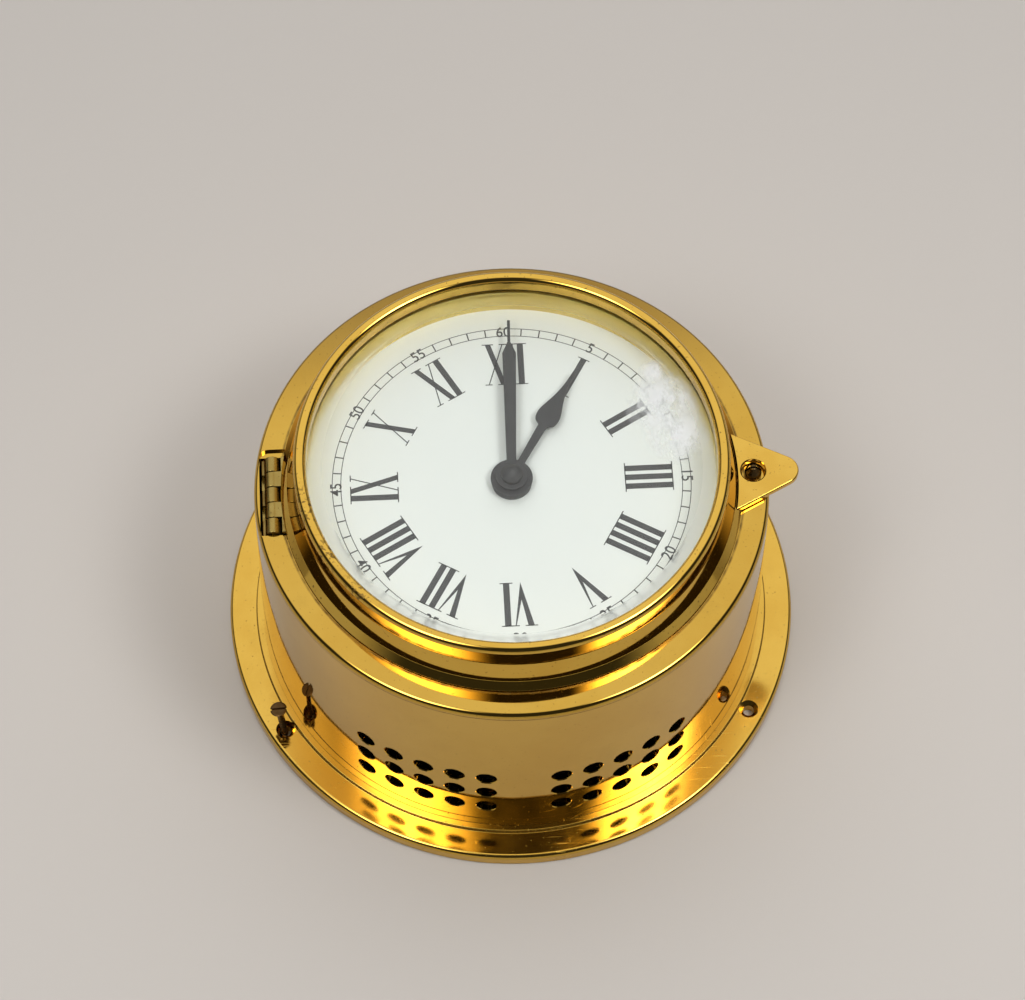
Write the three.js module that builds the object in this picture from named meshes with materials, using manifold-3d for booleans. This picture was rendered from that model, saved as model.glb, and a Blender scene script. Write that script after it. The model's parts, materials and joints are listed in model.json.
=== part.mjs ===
// Ship's bell clock with a quartz movement, lying on its back: a brass case with a hinged bezel.
// Millimetres, +Z up out of the dial, +Y towards twelve o'clock, origin at the centre of the back face.
import * as THREE from 'three';
import { mergeVertices } from 'three/addons/utils/BufferGeometryUtils.js';
import Module from 'manifold-3d';

const wasm = await Module();
wasm.setup();

// General clearances and the number of steps in a big ring
const FIT = 0.3;
const PRESS_GAP = 0.1;
const PIPE_CLEARANCE = 0.15;
const PIVOT_CLEARANCE = 0.1;
const RING_STEPS = 60;

// Dial, its collar, and the seat of the dial in the rim
const DIAL_R = 63;
const DIAL_H = 1;
const DIAL_PROUD = 0.4;
const DIAL_SEAT_W = 5;
const DIAL_OVERLAP = 1.4;
const COLLAR_H = 6.9;
const COLLAR_LIP = 0.8;
const COLLAR_SEAT_GAP = 0.4;

// Glass, bezel ring and retainer, outwards from the dial
const GLASS_MARGIN = 1.4;
const GLASS_H = 3.1;
const GLASS_BEVEL_W = 7;
const GLASS_BEVEL_H = 1.4;
const RETAINER_H = 1.8;
const RETAINER_W = 2.4;
const BEZEL_GAP = 0.3;
const BEZEL_WALL = 1.2;
const BEZEL_FLARE = 2.3;
const BEZEL_NECK_H = 6.6;
const BEZEL_FOOT_W = 2.2;
const BEZEL_FOOT_H = 2.7;
const BEAD_R = 2;
const BEAD_STEM_H = 3.2;
const GLASS_STOP_H = 3;

// Front rim, drum and mounting flange
const RIM_LEDGE_W = 8;
const RIM_H = 2.3;
const RIM_EDGE_R = 1.8;
const SPIGOT_H = 2;
const SPIGOT_WALL = 2.6;
const DRUM_H = 72.9;
const DRUM_WALL = 1;
const DRUM_TAPER = 0.9;
const STEP_W = 2.1;
const STEP_H = 1.2;
const FLANGE_W = 8.6;
const FLANGE_H = 4.5;
const FLANGE_EDGE_R = 1.5;
const FLANGE_LIP_W = 13.4;

// Vent holes in two groups, and the fixing holes
const VENT_R = 3.2;
const VENT_ROWS = 3;
const VENT_COLUMNS = 5;
const VENT_FIRST_H = 13.1;
const VENT_ROW_PITCH = 9.6;
const VENT_FIRST_ANGLE = 8.4;
const VENT_PITCH_ANGLE = 7.2;
const VENT_DRILL_L = 8;
const FIXING_ANGLES = [90, 210, 330];
const FIXING_INSET = 5.5;
const FIXING_BORE_R = 1.75;
const FIXING_SINK_R = 3.05;
const FIXING_SINK_H = 1.3;

// Back cover and its screws
const COVER_H = 1.6;
const COVER_SEAT_W = 6;
const COVER_SCREW_ANGLES = [30, 150, 270];
const COVER_SCREW_INSET = 3.1;
const COVER_SCREW_R = 1.3;
const COVER_SCREW_HEAD_R = 2.5;
const COVER_SCREW_HEAD_H = 1.4;
const COVER_SCREW_LENGTH = 3.9;
const SCREW_SUNK = 0.1;

// Latch tab on the bezel and the split stud on the rim
const LATCH_H = 2.2;
const LATCH_REACH = 19.2;
const LATCH_ROOT = 1.2;
const LATCH_APEX_R = 5;
const LATCH_HALF_W = 13.7;
const LATCH_HOLE_R = 3.7;
const CATCH_OUT = 5.3;
const CATCH_R = 2.6;
const CATCH_TIP_R = 0.8;
const CATCH_SHOULDER_H = 1.9;
const CATCH_TIP_H = 4.4;
const CATCH_SLIT_W = 0.6;
const CATCH_SLIT_H = 3.3;

// Hinge at nine o'clock
const HINGE_OUT = 2.3;
const HINGE_DROP = 2;
const KNUCKLE_R = 2.45;
const KNUCKLE_COUNT = 5;
const KNUCKLE_PITCH = 5.3;
const KNUCKLE_GAP = 0.2;
const HINGE_PIN_R = 1.1;
const CASE_LEAF_H = 1.4;
const CASE_LEAF_OUT = 0.85;
const CASE_LEAF_L = 16.9;
const BEZEL_LEAF_H = 1.3;
const BEZEL_LEAF_W = 6.3;
const SLOT_SIDE_GAP = 1.45;
const SLOT_END_GAP = 2.6;
const SLOT_LEDGE_H = 1.2;
const SLOT_CORNER_R = 3;

// Hands and the stack at the centre, heights counted from the dial face
const MINUTE_ANGLE = 1.8;
const HOUR_ANGLE = 30.15;
const NUT_R = 6.1;
const NUT_H = 2.1;
const HOUR_HAND_H = 0.6;
const HOUR_HAND_RISE = 2.4;
const HOUR_HUB_R = 6.4;
const HOUR_TIP_R = 41.8;
const HOUR_TIP_W = 0.9;
const HOUR_BULB_R = 24.2;
const HOUR_BULB_W = 7.3;
const HOUR_NECK_R = 20.6;
const HOUR_NECK_W = 2.8;
const HOUR_ROOT_W = 1.9;
const MINUTE_HAND_H = 0.6;
const MINUTE_HAND_RISE = 3.9;
const MINUTE_HUB_R = 4.9;
const MINUTE_TIP_R = 55;
const MINUTE_SHOULDER_R = 43.2;
const MINUTE_SHOULDER_W = 4.2;
const MINUTE_ROOT_W = 2.7;
const MINUTE_NEEDLE_R = 47.2;
const MINUTE_NEEDLE_W = 0.9;
const CAP_R = 3.3;
const CAP_RIM_H = 1.2;
const CAP_BEVEL = 0.5;
const CAP_H = 3.3;

// Arbor, pipe and bushing, one inside the other with a running clearance
const ARBOR_R = 1.6;
const ARBOR_END_R = 1.2;
const ARBOR_FOOT_R = 0.9;
const PIPE_WALL = 0.85;
const PIPE_END_WALL = 0.45;
const BUSHING_WALL = 1.25;
const PIPE_END_H = 0.4;

// Quartz movement, a box hung from the dial by its bushing
const BOX_SIDE = 56;
const BOX_DEPTH = 16;
const BOX_WALL = 1.5;
const BOX_SPLIT = 4.3;
const MID_PLATE_H = 1;
const POST_R = 2;
const POST_INSET = 4.5;
const BOSS_R = 1.4;
const BOSS_H = 1.2;

// Gear train: the motor steps twice a minute, so it turns sixty times for one turn of the minute hand
const CENTRE_MODULE = 0.353;
const CENTRE_TEETH = 45;
const THIRD_PINION_TEETH = 6;
const THIRD_MODULE = 0.315;
const THIRD_TEETH = 48;
const ROTOR_PINION_TEETH = 6;
const MOTION_MODULE = 0.45;
const CANNON_TEETH = 10;
const MOTION_TEETH = 30;
const MOTION_PINION_TEETH = 8;
const HOUR_TEETH = 32;
const SET_TEETH = 15;
const MESH_SLACK = 0.05;
const THIRD_DIRECTION = 90;
const ROTOR_DIRECTION = -10;
const MOTION_DIRECTION = 200;
const SET_DIRECTION = 230;
const WHEEL_H = 1;
const WHEEL_GAP = 0.6;
const MOTION_WHEEL_H = 0.9;
const MOTION_GAP = 0.3;
const MOTION_STUD_R = 0.8;
const PIVOT_R = 0.5;
const THIRD_ARBOR_R = 0.7;
const ROTOR_MAGNET_R = 2;
const ROTOR_MAGNET_H = 2.4;
const ROTOR_PINION_H = 1.8;
const KNOB_R = 6;
const KNOB_H = 3;
const KNOB_SHAFT_R = 1.2;

// Stepping motor and its board
const STATOR_H = 1.6;
const STATOR_HOLE_R = 2.5;
const STATOR_BAR = 3.4;
const STATOR_HEAD = 4;
const STATOR_L = 27.6;
const STATOR_EDGE_GAP = 2.5;
const COIL_W = 7.4;
const COIL_H = 6;
const COIL_L = 14;
const COIL_TO_HEAD = 9.1;
const COIL_SLEEVE = 0.2;
const BOARD_L = 23;
const BOARD_W = 8.7;
const BOARD_H = 1;
const BOARD_RISE = 1.8;
const BOARD_EDGE_GAP = 1;
const BOARD_LEFT = -3;
const CRYSTAL_R = 1;
const CRYSTAL_L = 6;

// Chassis plate hung from the rim by three pillars
const CHASSIS_H = 1.5;
const CHASSIS_EDGE_GAP = 7.4;
const PILLAR_R = 3;
const PILLAR_L = 27.1;
const PILLAR_INSET = 11.4;
const CHASSIS_SCREW_R = 1.2;
const CHASSIS_SCREW_HEAD_R = 2.8;
const CHASSIS_SCREW_HEAD_H = 1.5;
const CHASSIS_SCREW_L = 8;

// Battery holder and cells under the chassis
const CELL_R = 13.1;
const CELL_L = 49;
const CELL_NUB_R = 3;
const CELL_NUB_H = 1;
const HOLDER_WALL = 1.5;
const HOLDER_EDGE_GAP = 2.95;
const HOLDER_SIDE_DROP = 16;
const CONTACT_H = 0.4;
const CONTACT_W = 9;
const CONTACT_DROP = 3;

// Bell in the room that the holder leaves, with its post and nut
const BELL_X = 4;
const BELL_EDGE_GAP = 11.4;
const BELL_HOLDER_GAP = 6.85;
const BELL_DEPTH = 24;
const BELL_WALL = 2;
const BELL_DROP = 6;
const BELL_POST_R = 4;
const BELL_STUD_R = 2;
const BELL_NUT_R = 4.5;
const BELL_NUT_H = 3.2;

// Hammer beside the bell, and the electromagnet that pulls its tail
const HAMMER_OUT = 14;
const HAMMER_BACK = 32;
const HAMMER_DROP = 9.5;
const HAMMER_ARM_H = 3;
const HAMMER_ARM_W = 4;
const HAMMER_HUB_R = 4;
const HAMMER_PIVOT_R = 1.5;
const HAMMER_COLLAR_R = 2.6;
const HAMMER_COLLAR_H = 1;
const HAMMER_HEAD_R = 3;
const HAMMER_HEAD_L = 6;
const HAMMER_STROKE = 3;
const HAMMER_PLAY = 0.2;
const TAIL_L = 14;
const TAIL_END = 6;
const ARMATURE_W = 4;
const ARMATURE_H = 7;
const MAGNET_GAP = 2;
const MAGNET_CORE_R = 3.5;
const MAGNET_CORE_PROUD = 2;
const MAGNET_L = 18;
const MAGNET_W = 16;
const MAGNET_PLATE_H = 1.5;
const MAGNET_COIL_R = 7.6;
const MAGNET_COIL_GAP = 0.1;

// Striking board and the twin leads
const STRIKE_BOARD_GAP = 4;
const STRIKE_BOARD_LOW = -22;
const STRIKE_BOARD_W = 22;
const STRIKE_BOARD_L = 36;
const STRIKE_BOARD_H = 1.4;
const STRIKE_BOARD_DROP = 4;
const STRIKE_BOARD_BOSS_R = 2;
const STRIKE_BOARD_BOSS_INSET = 4;
const LEAD_R = 1.1;
const LEAD_INSET = 6;
const LEAD_HOLE_OUT = 10;
const LEAD_HOLE_R = 3;
const LEAD_BOX_INSET = 6.4;
const LEAD_LOW = 8;

// Loose mounting screw standing in the lower left fixing hole
const SCREW_R = 1.15;
const SCREW_TIP_R = 0.3;
const SCREW_TIP_H = 2.2;
const SCREW_HEAD_R = 2.65;
const SCREW_HEAD_H = 1.9;
const SCREW_HEAD_EDGE = 0.2;
const SCREW_LENGTH = 16.4;
const SCREW_LEAN = 8;
const SCREW_LEAN_DIRECTION = 139;
const SCREW_SLOT_W = 0.7;
const SCREW_SLOT_H = 0.8;

// Radii that follow, from the dial outwards
const RIM_BORE_R = DIAL_R - DIAL_SEAT_W;
const COLLAR_BORE_R = DIAL_R - DIAL_OVERLAP;
const COLLAR_R = DIAL_R + COLLAR_SEAT_GAP + COLLAR_LIP;
const GLASS_R = DIAL_R + GLASS_MARGIN;
const RETAINER_BORE_R = GLASS_R - RETAINER_W;
const BEZEL_BORE_R = GLASS_R + FIT;
const BEZEL_NECK_R = BEZEL_BORE_R + BEZEL_WALL;
const BEZEL_EDGE_R = BEZEL_NECK_R + BEZEL_FLARE;
const BEZEL_FOOT_R = BEZEL_EDGE_R + BEZEL_FOOT_W;
const BEAD_CENTRE_R = BEZEL_NECK_R - BEAD_R;
const DRUM_TOP_R = BEZEL_FOOT_R + RIM_LEDGE_W;
const DRUM_BORE_R = DRUM_TOP_R - DRUM_WALL;
const DRUM_FOOT_R = DRUM_TOP_R + DRUM_TAPER;
const STEP_R = DRUM_FOOT_R + STEP_W;
const FLANGE_R = STEP_R + FLANGE_W;
const FLANGE_BORE_R = DRUM_BORE_R - FLANGE_LIP_W;
const FIXING_CIRCLE_R = FLANGE_R - FIXING_INSET;
const COVER_R = FLANGE_BORE_R + COVER_SEAT_W;
const COVER_SCREW_CIRCLE_R = COVER_R - COVER_SCREW_INSET;
const LATCH_HOLE_X = BEZEL_EDGE_R + CATCH_OUT;
const HINGE_X = -(BEZEL_FOOT_R + HINGE_OUT);
const CHASSIS_R = DRUM_BORE_R - CHASSIS_EDGE_GAP;
const PILLAR_CIRCLE_R = DRUM_BORE_R - PILLAR_INSET;
const PIPE_BORE_R = ARBOR_R + PIPE_CLEARANCE;
const PIPE_R = PIPE_BORE_R + PIPE_WALL;
const PIPE_END_R = PIPE_BORE_R + PIPE_END_WALL;
const BUSHING_BORE_R = PIPE_R + PIPE_CLEARANCE;
const BUSHING_R = BUSHING_BORE_R + BUSHING_WALL;

// Heights that follow, from the back face upwards
const DRUM_FOOT_Z = FLANGE_H + STEP_H;
const DRUM_TOP_Z = DRUM_FOOT_Z + DRUM_H;
const RIM_TOP_Z = DRUM_TOP_Z + RIM_H;
const DIAL_Z = RIM_TOP_Z + DIAL_PROUD;
const DIAL_SEAT_Z = DIAL_Z - DIAL_H;
const BEZEL_Z = RIM_TOP_Z + BEZEL_GAP;
const BEZEL_EDGE_Z = BEZEL_Z + BEZEL_FOOT_H;
const BEZEL_NECK_Z = BEZEL_EDGE_Z + BEZEL_NECK_H;
const GLASS_TOP_Z = BEZEL_NECK_Z + GLASS_STOP_H;
const GLASS_Z = GLASS_TOP_Z - GLASS_H;
const BEAD_CENTRE_Z = GLASS_TOP_Z + BEAD_STEM_H;
const HINGE_Z = RIM_TOP_Z - HINGE_DROP;
const HOUR_HAND_Z = DIAL_Z + HOUR_HAND_RISE;
const MINUTE_HAND_Z = DIAL_Z + MINUTE_HAND_RISE;
const CAP_Z = MINUTE_HAND_Z + MINUTE_HAND_H;
const BOX_TOP_Z = DIAL_SEAT_Z;
const BOX_Z = BOX_TOP_Z - BOX_DEPTH;
const BOX_FLOOR_Z = BOX_Z + BOX_WALL;
const BOX_CEILING_Z = BOX_TOP_Z - BOX_WALL;
const SPLIT_Z = BOX_TOP_Z - BOX_SPLIT;
const MID_Z = SPLIT_Z - MID_PLATE_H;
const CENTRE_WHEEL_Z = MID_Z - WHEEL_GAP - WHEEL_H;
const THIRD_WHEEL_Z = CENTRE_WHEEL_Z - 1.4 - WHEEL_H;
const ROTOR_PINION_Z = THIRD_WHEEL_Z - (ROTOR_PINION_H - WHEEL_H) / 2;
const ROTOR_MAGNET_Z = ROTOR_PINION_Z - ROTOR_MAGNET_H - 0.2;
const STATOR_Z = ROTOR_MAGNET_Z + (ROTOR_MAGNET_H - STATOR_H) / 2;
const BOARD_Z = BOX_FLOOR_Z + BOARD_RISE;
const CANNON_Z = SPLIT_Z + MOTION_GAP;
const MOTION_PINION_Z = CANNON_Z + MOTION_WHEEL_H;
const HOUR_WHEEL_Z = MOTION_PINION_Z + MOTION_GAP;
const CHASSIS_TOP_Z = DRUM_TOP_Z - PILLAR_L;
const CHASSIS_Z = CHASSIS_TOP_Z - CHASSIS_H;
const HAMMER_Z = CHASSIS_Z - HAMMER_DROP;
const BELL_MOUTH_Z = CHASSIS_Z - BELL_DROP;
const BELL_CROWN_Z = BELL_MOUTH_Z - BELL_DEPTH;

// Places that follow, in the plane of the chassis
const HOLDER_HALF_X = CELL_L / 2 + CELL_NUB_H + 2 * FIT;
const HOLDER_HALF_Y = 2 * CELL_R + 1.5 * FIT;
const HOLDER_OUT_X = HOLDER_HALF_X + HOLDER_WALL;
const HOLDER_OUT_Y = HOLDER_HALF_Y + HOLDER_WALL;
const HOLDER_Y = HOLDER_OUT_Y - Math.sqrt((DRUM_BORE_R - HOLDER_EDGE_GAP) ** 2 - HOLDER_OUT_X ** 2);
const BELL_TOP_Y = DRUM_BORE_R - BELL_EDGE_GAP;
const BELL_R = (BELL_TOP_Y - HOLDER_Y - HOLDER_OUT_Y - BELL_HOLDER_GAP) / 2;
const BELL_Y = BELL_TOP_Y - BELL_R;
const HAMMER_X = BELL_X - BELL_R - HAMMER_OUT;
const HAMMER_Y = BELL_Y - HAMMER_BACK;
const TAIL_Y = HAMMER_Y - TAIL_L;
const MAGNET_POLE_X = HAMMER_X - ARMATURE_W / 2 - MAGNET_GAP;
const MAGNET_IN_X = MAGNET_POLE_X - MAGNET_CORE_PROUD;
const MAGNET_OUT_X = MAGNET_IN_X - MAGNET_L;
const STRIKE_BOARD_X = BELL_X + BELL_R + STRIKE_BOARD_GAP;
const STRIKE_BOARD_TOP_Z = CHASSIS_Z - STRIKE_BOARD_DROP;
const STRIKE_BOARD_Z = STRIKE_BOARD_TOP_Z - STRIKE_BOARD_H;

const rad = THREE.MathUtils.degToRad;
const at = (radius, degrees) => new THREE.Vector2(radius, 0).rotateAround(new THREE.Vector2(), rad(degrees));
const roundSteps = [[40, RING_STEPS], [12, 32], [3, 16], [1, 12], [0, 8]];
const round = (radius) => roundSteps.find(([least]) => radius > least)[1];

// Makes a solid of a closed geometry, whose shared vertices are merged first
function solid(geometry) {
  const bare = geometry.clone();
  bare.deleteAttribute('normal');
  bare.deleteAttribute('uv');
  const merged = mergeVertices(bare, 1e-4);
  const index = merged.index.array;
  const triVerts = [];
  for (let i = 0; i < index.length; i += 3) {
    const [a, b, c] = [index[i], index[i + 1], index[i + 2]];
    if (a !== b && b !== c && c !== a) triVerts.push(a, b, c);
  }
  const vertProperties = new Float32Array(merged.attributes.position.array);
  const mesh = new wasm.Mesh({ numProp: 3, vertProperties, triVerts: new Uint32Array(triVerts) });
  return new wasm.Manifold(mesh);
}

const cut = (base, ...tools) => tools.reduce((left, tool) => left.subtract(tool), base);
const join = (base, ...others) => others.reduce((whole, other) => whole.add(other), base);

// A round piece turned about Z from a profile of [radius, height] points that go round anticlockwise
function turned(profile, steps = RING_STEPS, x = 0, y = 0) {
  const points = profile.map(([radius, height]) => new THREE.Vector2(radius, height));
  const onAxis = profile[0][0] === 0 && profile.at(-1)[0] === 0;
  if (!onAxis) points.push(points[0].clone());
  return solid(new THREE.LatheGeometry(points, steps).rotateX(Math.PI / 2).translate(x, y, 0));
}

const rod = (radius, low, high, x = 0, y = 0, steps = round(radius)) =>
  turned([[0, low], [radius, low], [radius, high], [0, high]], steps, x, y);

const tube = (bore, radius, low, high, x = 0, y = 0, steps = round(radius)) =>
  turned([[bore, low], [radius, low], [radius, high], [bore, high]], steps, x, y);

const cone = (lowRadius, highRadius, low, high, x = 0, y = 0, steps = 12) =>
  turned([[0, low], [lowRadius, low], [highRadius, high], [0, high]], steps, x, y);

// A rod along X or Y, made upright and turned over
function lyingRod(radius, from, to, x, y, z, axis, steps = round(radius)) {
  const geometry = new THREE.CylinderGeometry(radius, radius, to - from, steps);
  if (axis === 'x') geometry.rotateZ(-Math.PI / 2).translate((from + to) / 2, y, z);
  else geometry.translate(x, (from + to) / 2, z);
  return solid(geometry);
}

function block(x0, x1, y0, y1, z0, z1) {
  const geometry = new THREE.BoxGeometry(x1 - x0, y1 - y0, z1 - z0);
  return solid(geometry.translate((x0 + x1) / 2, (y0 + y1) / 2, (z0 + z1) / 2));
}

// A flat piece cut to an outline and laid with its lower face at a height
function plate(outline, low, high, curveSegments = 8) {
  const shape = outline instanceof THREE.Shape ? outline : new THREE.Shape(outline);
  const settings = { depth: high - low, bevelEnabled: false, curveSegments };
  return solid(new THREE.ExtrudeGeometry(shape, settings).translate(0, 0, low));
}

function roundedRectangle(x0, x1, y0, y1, radius) {
  const shape = new THREE.Shape();
  shape.moveTo(x0 + radius, y0);
  shape.lineTo(x1 - radius, y0);
  shape.absarc(x1 - radius, y0 + radius, radius, -Math.PI / 2, 0);
  shape.lineTo(x1, y1 - radius);
  shape.absarc(x1 - radius, y1 - radius, radius, 0, Math.PI / 2);
  shape.lineTo(x0 + radius, y1);
  shape.absarc(x0 + radius, y1 - radius, radius, Math.PI / 2, Math.PI);
  shape.lineTo(x0, y0 + radius);
  shape.absarc(x0 + radius, y0 + radius, radius, Math.PI, 1.5 * Math.PI);
  return shape;
}

// Quarter or half round stretches of a turned profile
function arc(centreR, centreZ, radius, fromDegrees, toDegrees, steps) {
  return Array.from({ length: steps + 1 }, (_, i) => {
    const angle = rad(fromDegrees + ((toDegrees - fromDegrees) * i) / steps);
    return [centreR + radius * Math.cos(angle), centreZ + radius * Math.sin(angle)];
  });
}

// Spur gear blank with straight sided teeth, one of them pointing along the phase angle
function gear(teeth, module, low, high, x, y, phase) {
  const pitchR = (teeth * module) / 2;
  const tipR = pitchR + 0.8 * module;
  const rootR = pitchR - module;
  const pitch = 360 / teeth;
  const points = [];
  for (let i = 0; i < teeth; i++) {
    const middle = phase + i * pitch;
    points.push(at(rootR, middle - 0.24 * pitch), at(tipR, middle - 0.09 * pitch));
    points.push(at(tipR, middle + 0.09 * pitch), at(rootR, middle + 0.24 * pitch));
  }
  const centre = new THREE.Vector2(x, y);
  return plate(points.map((point) => point.add(centre)), low, high);
}

// Tooth angle that puts the second gear in mesh with the first, whose tooth angle is known
function meshPhase(direction, firstPhase, firstTeeth, secondTeeth) {
  const halfTurn = 180;
  return direction + halfTurn + ((direction - firstPhase) * firstTeeth + halfTurn) / secondTeeth;
}

const brass = new THREE.MeshStandardMaterial({ color: 0xd0a535, roughness: 0.12, metalness: 1 });
const wornBrass = new THREE.MeshStandardMaterial({ color: 0xa8842f, roughness: 0.28, metalness: 1 });
const darkBrass = new THREE.MeshStandardMaterial({ color: 0x4a3715, roughness: 0.4, metalness: 1 });
const steel = new THREE.MeshStandardMaterial({ color: 0xb4b6b8, roughness: 0.35, metalness: 1 });
const zincSteel = new THREE.MeshStandardMaterial({ color: 0xa3a59c, roughness: 0.45, metalness: 0.9 });
const rustySteel = new THREE.MeshStandardMaterial({ color: 0x5b4433, roughness: 0.7, metalness: 0.6 });
const whitePaint = new THREE.MeshStandardMaterial({ color: 0xeef0ec, roughness: 0.5, metalness: 0 });
const blackPaint = new THREE.MeshStandardMaterial({ color: 0x1c1c1b, roughness: 0.55, metalness: 0.1 });
const blackPlastic = new THREE.MeshStandardMaterial({ color: 0x202122, roughness: 0.6, metalness: 0 });
const whitePlastic = new THREE.MeshStandardMaterial({ color: 0xe6e4dc, roughness: 0.5, metalness: 0 });
const boardGreen = new THREE.MeshStandardMaterial({ color: 0x2b6b3c, roughness: 0.5, metalness: 0 });
const copper = new THREE.MeshStandardMaterial({ color: 0xb5683a, roughness: 0.35, metalness: 1 });
const bellMetal = new THREE.MeshStandardMaterial({ color: 0xc8a24a, roughness: 0.2, metalness: 1 });
const clearGlass = new THREE.MeshStandardMaterial({
  color: 0xf2f6f4, roughness: 0.02, metalness: 0, transparent: true, opacity: 0.25,
});

const clock = new THREE.Group();

// Adds a named mesh of a solid to a parent group
function add(name, body, material, parent = clock) {
  const { vertProperties, triVerts } = body.getMesh();
  const geometry = new THREE.BufferGeometry();
  geometry.setAttribute('position', new THREE.BufferAttribute(vertProperties, 3));
  geometry.setIndex(new THREE.BufferAttribute(triVerts, 1));
  geometry.computeVertexNormals();
  const mesh = new THREE.Mesh(geometry, material);
  mesh.name = name;
  parent.add(mesh);
  return mesh;
}

// Case: flange, vented drum and front rim
function mountingFlange() {
  const rebateR = COVER_R + FIT;
  const rim = arc(FLANGE_R - FLANGE_EDGE_R, FLANGE_H - FLANGE_EDGE_R, FLANGE_EDGE_R, 0, 90, 2);
  const profile = [
    [rebateR, 0], [FLANGE_R, 0], ...rim, [STEP_R, FLANGE_H], [STEP_R, DRUM_FOOT_Z],
    [FLANGE_BORE_R, DRUM_FOOT_Z], [FLANGE_BORE_R, COVER_H], [rebateR, COVER_H],
  ];
  const holes = FIXING_ANGLES.flatMap((angle) => {
    const { x, y } = at(FIXING_CIRCLE_R, angle);
    const bore = rod(FIXING_BORE_R, -1, FLANGE_H + 1, x, y, 16);
    const sinkZ = FLANGE_H - FIXING_SINK_H;
    return [bore, cone(FIXING_BORE_R, FIXING_SINK_R, sinkZ, FLANGE_H, x, y, 16)];
  });
  const screwHoles = coverScrewPlaces().map(({ x, y }) =>
    rod(COVER_SCREW_R + FIT, 0, COVER_SCREW_LENGTH + FIT, x, y));
  return cut(turned(profile), ...holes, ...screwHoles);
}

function drumShell() {
  const profile = [
    [DRUM_BORE_R, DRUM_FOOT_Z], [DRUM_FOOT_R, DRUM_FOOT_Z],
    [DRUM_TOP_R, DRUM_TOP_Z], [DRUM_BORE_R, DRUM_TOP_Z],
  ];
  const vents = [];
  for (const side of [-1, 1]) {
    for (let column = 0; column < VENT_COLUMNS; column++) {
      for (let row = 0; row < VENT_ROWS; row++) {
        const angle = side * (VENT_FIRST_ANGLE + column * VENT_PITCH_ANGLE);
        const z = DRUM_FOOT_Z + VENT_FIRST_H + row * VENT_ROW_PITCH;
        const drill = new THREE.CylinderGeometry(VENT_R, VENT_R, VENT_DRILL_L, 8);
        vents.push(solid(drill.translate(0, -DRUM_BORE_R, z).rotateZ(rad(angle))));
      }
    }
  }
  return cut(turned(profile), ...vents);
}

function frontRim() {
  const edge = arc(DRUM_TOP_R - RIM_EDGE_R, RIM_TOP_Z - RIM_EDGE_R, RIM_EDGE_R, 0, 90, 3);
  const spigotR = DRUM_BORE_R - FIT;
  const dialRecessR = DIAL_R + FIT;
  const profile = [
    [RIM_BORE_R, DRUM_TOP_Z], [spigotR - SPIGOT_WALL, DRUM_TOP_Z],
    [spigotR - SPIGOT_WALL, DRUM_TOP_Z - SPIGOT_H],
    [spigotR, DRUM_TOP_Z - SPIGOT_H], [spigotR, DRUM_TOP_Z], [DRUM_TOP_R, DRUM_TOP_Z], ...edge,
    [dialRecessR, RIM_TOP_Z], [dialRecessR, DIAL_SEAT_Z], [RIM_BORE_R, DIAL_SEAT_Z],
  ];
  const slotOut = HINGE_X - KNUCKLE_R - SLOT_SIDE_GAP;
  const slotIn = HINGE_X + BEZEL_LEAF_W + FIT;
  const slotEnd = hingeHalfL + SLOT_END_GAP;
  const through = hingeHalfL + FIT;
  const slot = block(slotOut, slotIn, -through, through, DRUM_TOP_Z - SPIGOT_H - 1, RIM_TOP_Z + 1);
  const pocket = roundedRectangle(slotOut, slotIn, -slotEnd, slotEnd, SLOT_CORNER_R);
  return cut(turned(profile), slot, plate(pocket, RIM_TOP_Z - SLOT_LEDGE_H, RIM_TOP_Z + 1, 4));
}

// Back cover with three countersunk screws
function coverScrewPlaces() {
  return COVER_SCREW_ANGLES.map((angle) => at(COVER_SCREW_CIRCLE_R, angle));
}

function backCover() {
  const holes = coverScrewPlaces().flatMap(({ x, y }) => [
    rod(COVER_SCREW_R + FIT, -1, COVER_H + 1, x, y),
    cone(COVER_SCREW_HEAD_R + FIT, COVER_SCREW_R + FIT, 0, COVER_SCREW_HEAD_H, x, y),
  ]);
  return cut(turned([[0, 0], [COVER_R, 0], [COVER_R, COVER_H], [0, COVER_H]]), ...holes);
}

function coverScrew() {
  const head = cone(COVER_SCREW_HEAD_R, COVER_SCREW_R, SCREW_SUNK, COVER_SCREW_HEAD_H);
  const half = SCREW_SLOT_W / 2;
  const slot = block(-COVER_SCREW_HEAD_R, COVER_SCREW_HEAD_R, -half, half, -1, SCREW_SLOT_H);
  return cut(join(head, rod(COVER_SCREW_R, SCREW_SUNK, COVER_SCREW_LENGTH)), slot);
}

// Dial, its collar and the nut that clamps it to the movement
function dialPlate() {
  return tube(BUSHING_R + FIT, DIAL_R, DIAL_SEAT_Z, DIAL_Z);
}

function dialCollar() {
  const seatR = DIAL_R + COLLAR_SEAT_GAP;
  const top = DIAL_Z + COLLAR_H;
  return turned([
    [seatR, RIM_TOP_Z], [COLLAR_R, RIM_TOP_Z], [COLLAR_R, top],
    [COLLAR_BORE_R, top], [COLLAR_BORE_R, DIAL_Z], [seatR, DIAL_Z],
  ]);
}

function centreNut() {
  return tube(BUSHING_R + PRESS_GAP, NUT_R, DIAL_Z, DIAL_Z + NUT_H);
}

// Bezel ring: a flared foot, a tapering wall and a half round lip over the glass
function bezelOutline() {
  return [
    [BEZEL_FOOT_R, BEZEL_Z], [BEZEL_EDGE_R, BEZEL_EDGE_Z], [BEZEL_NECK_R, BEZEL_NECK_Z],
    ...arc(BEAD_CENTRE_R, BEAD_CENTRE_Z, BEAD_R, 0, 180, 6),
  ];
}

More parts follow.
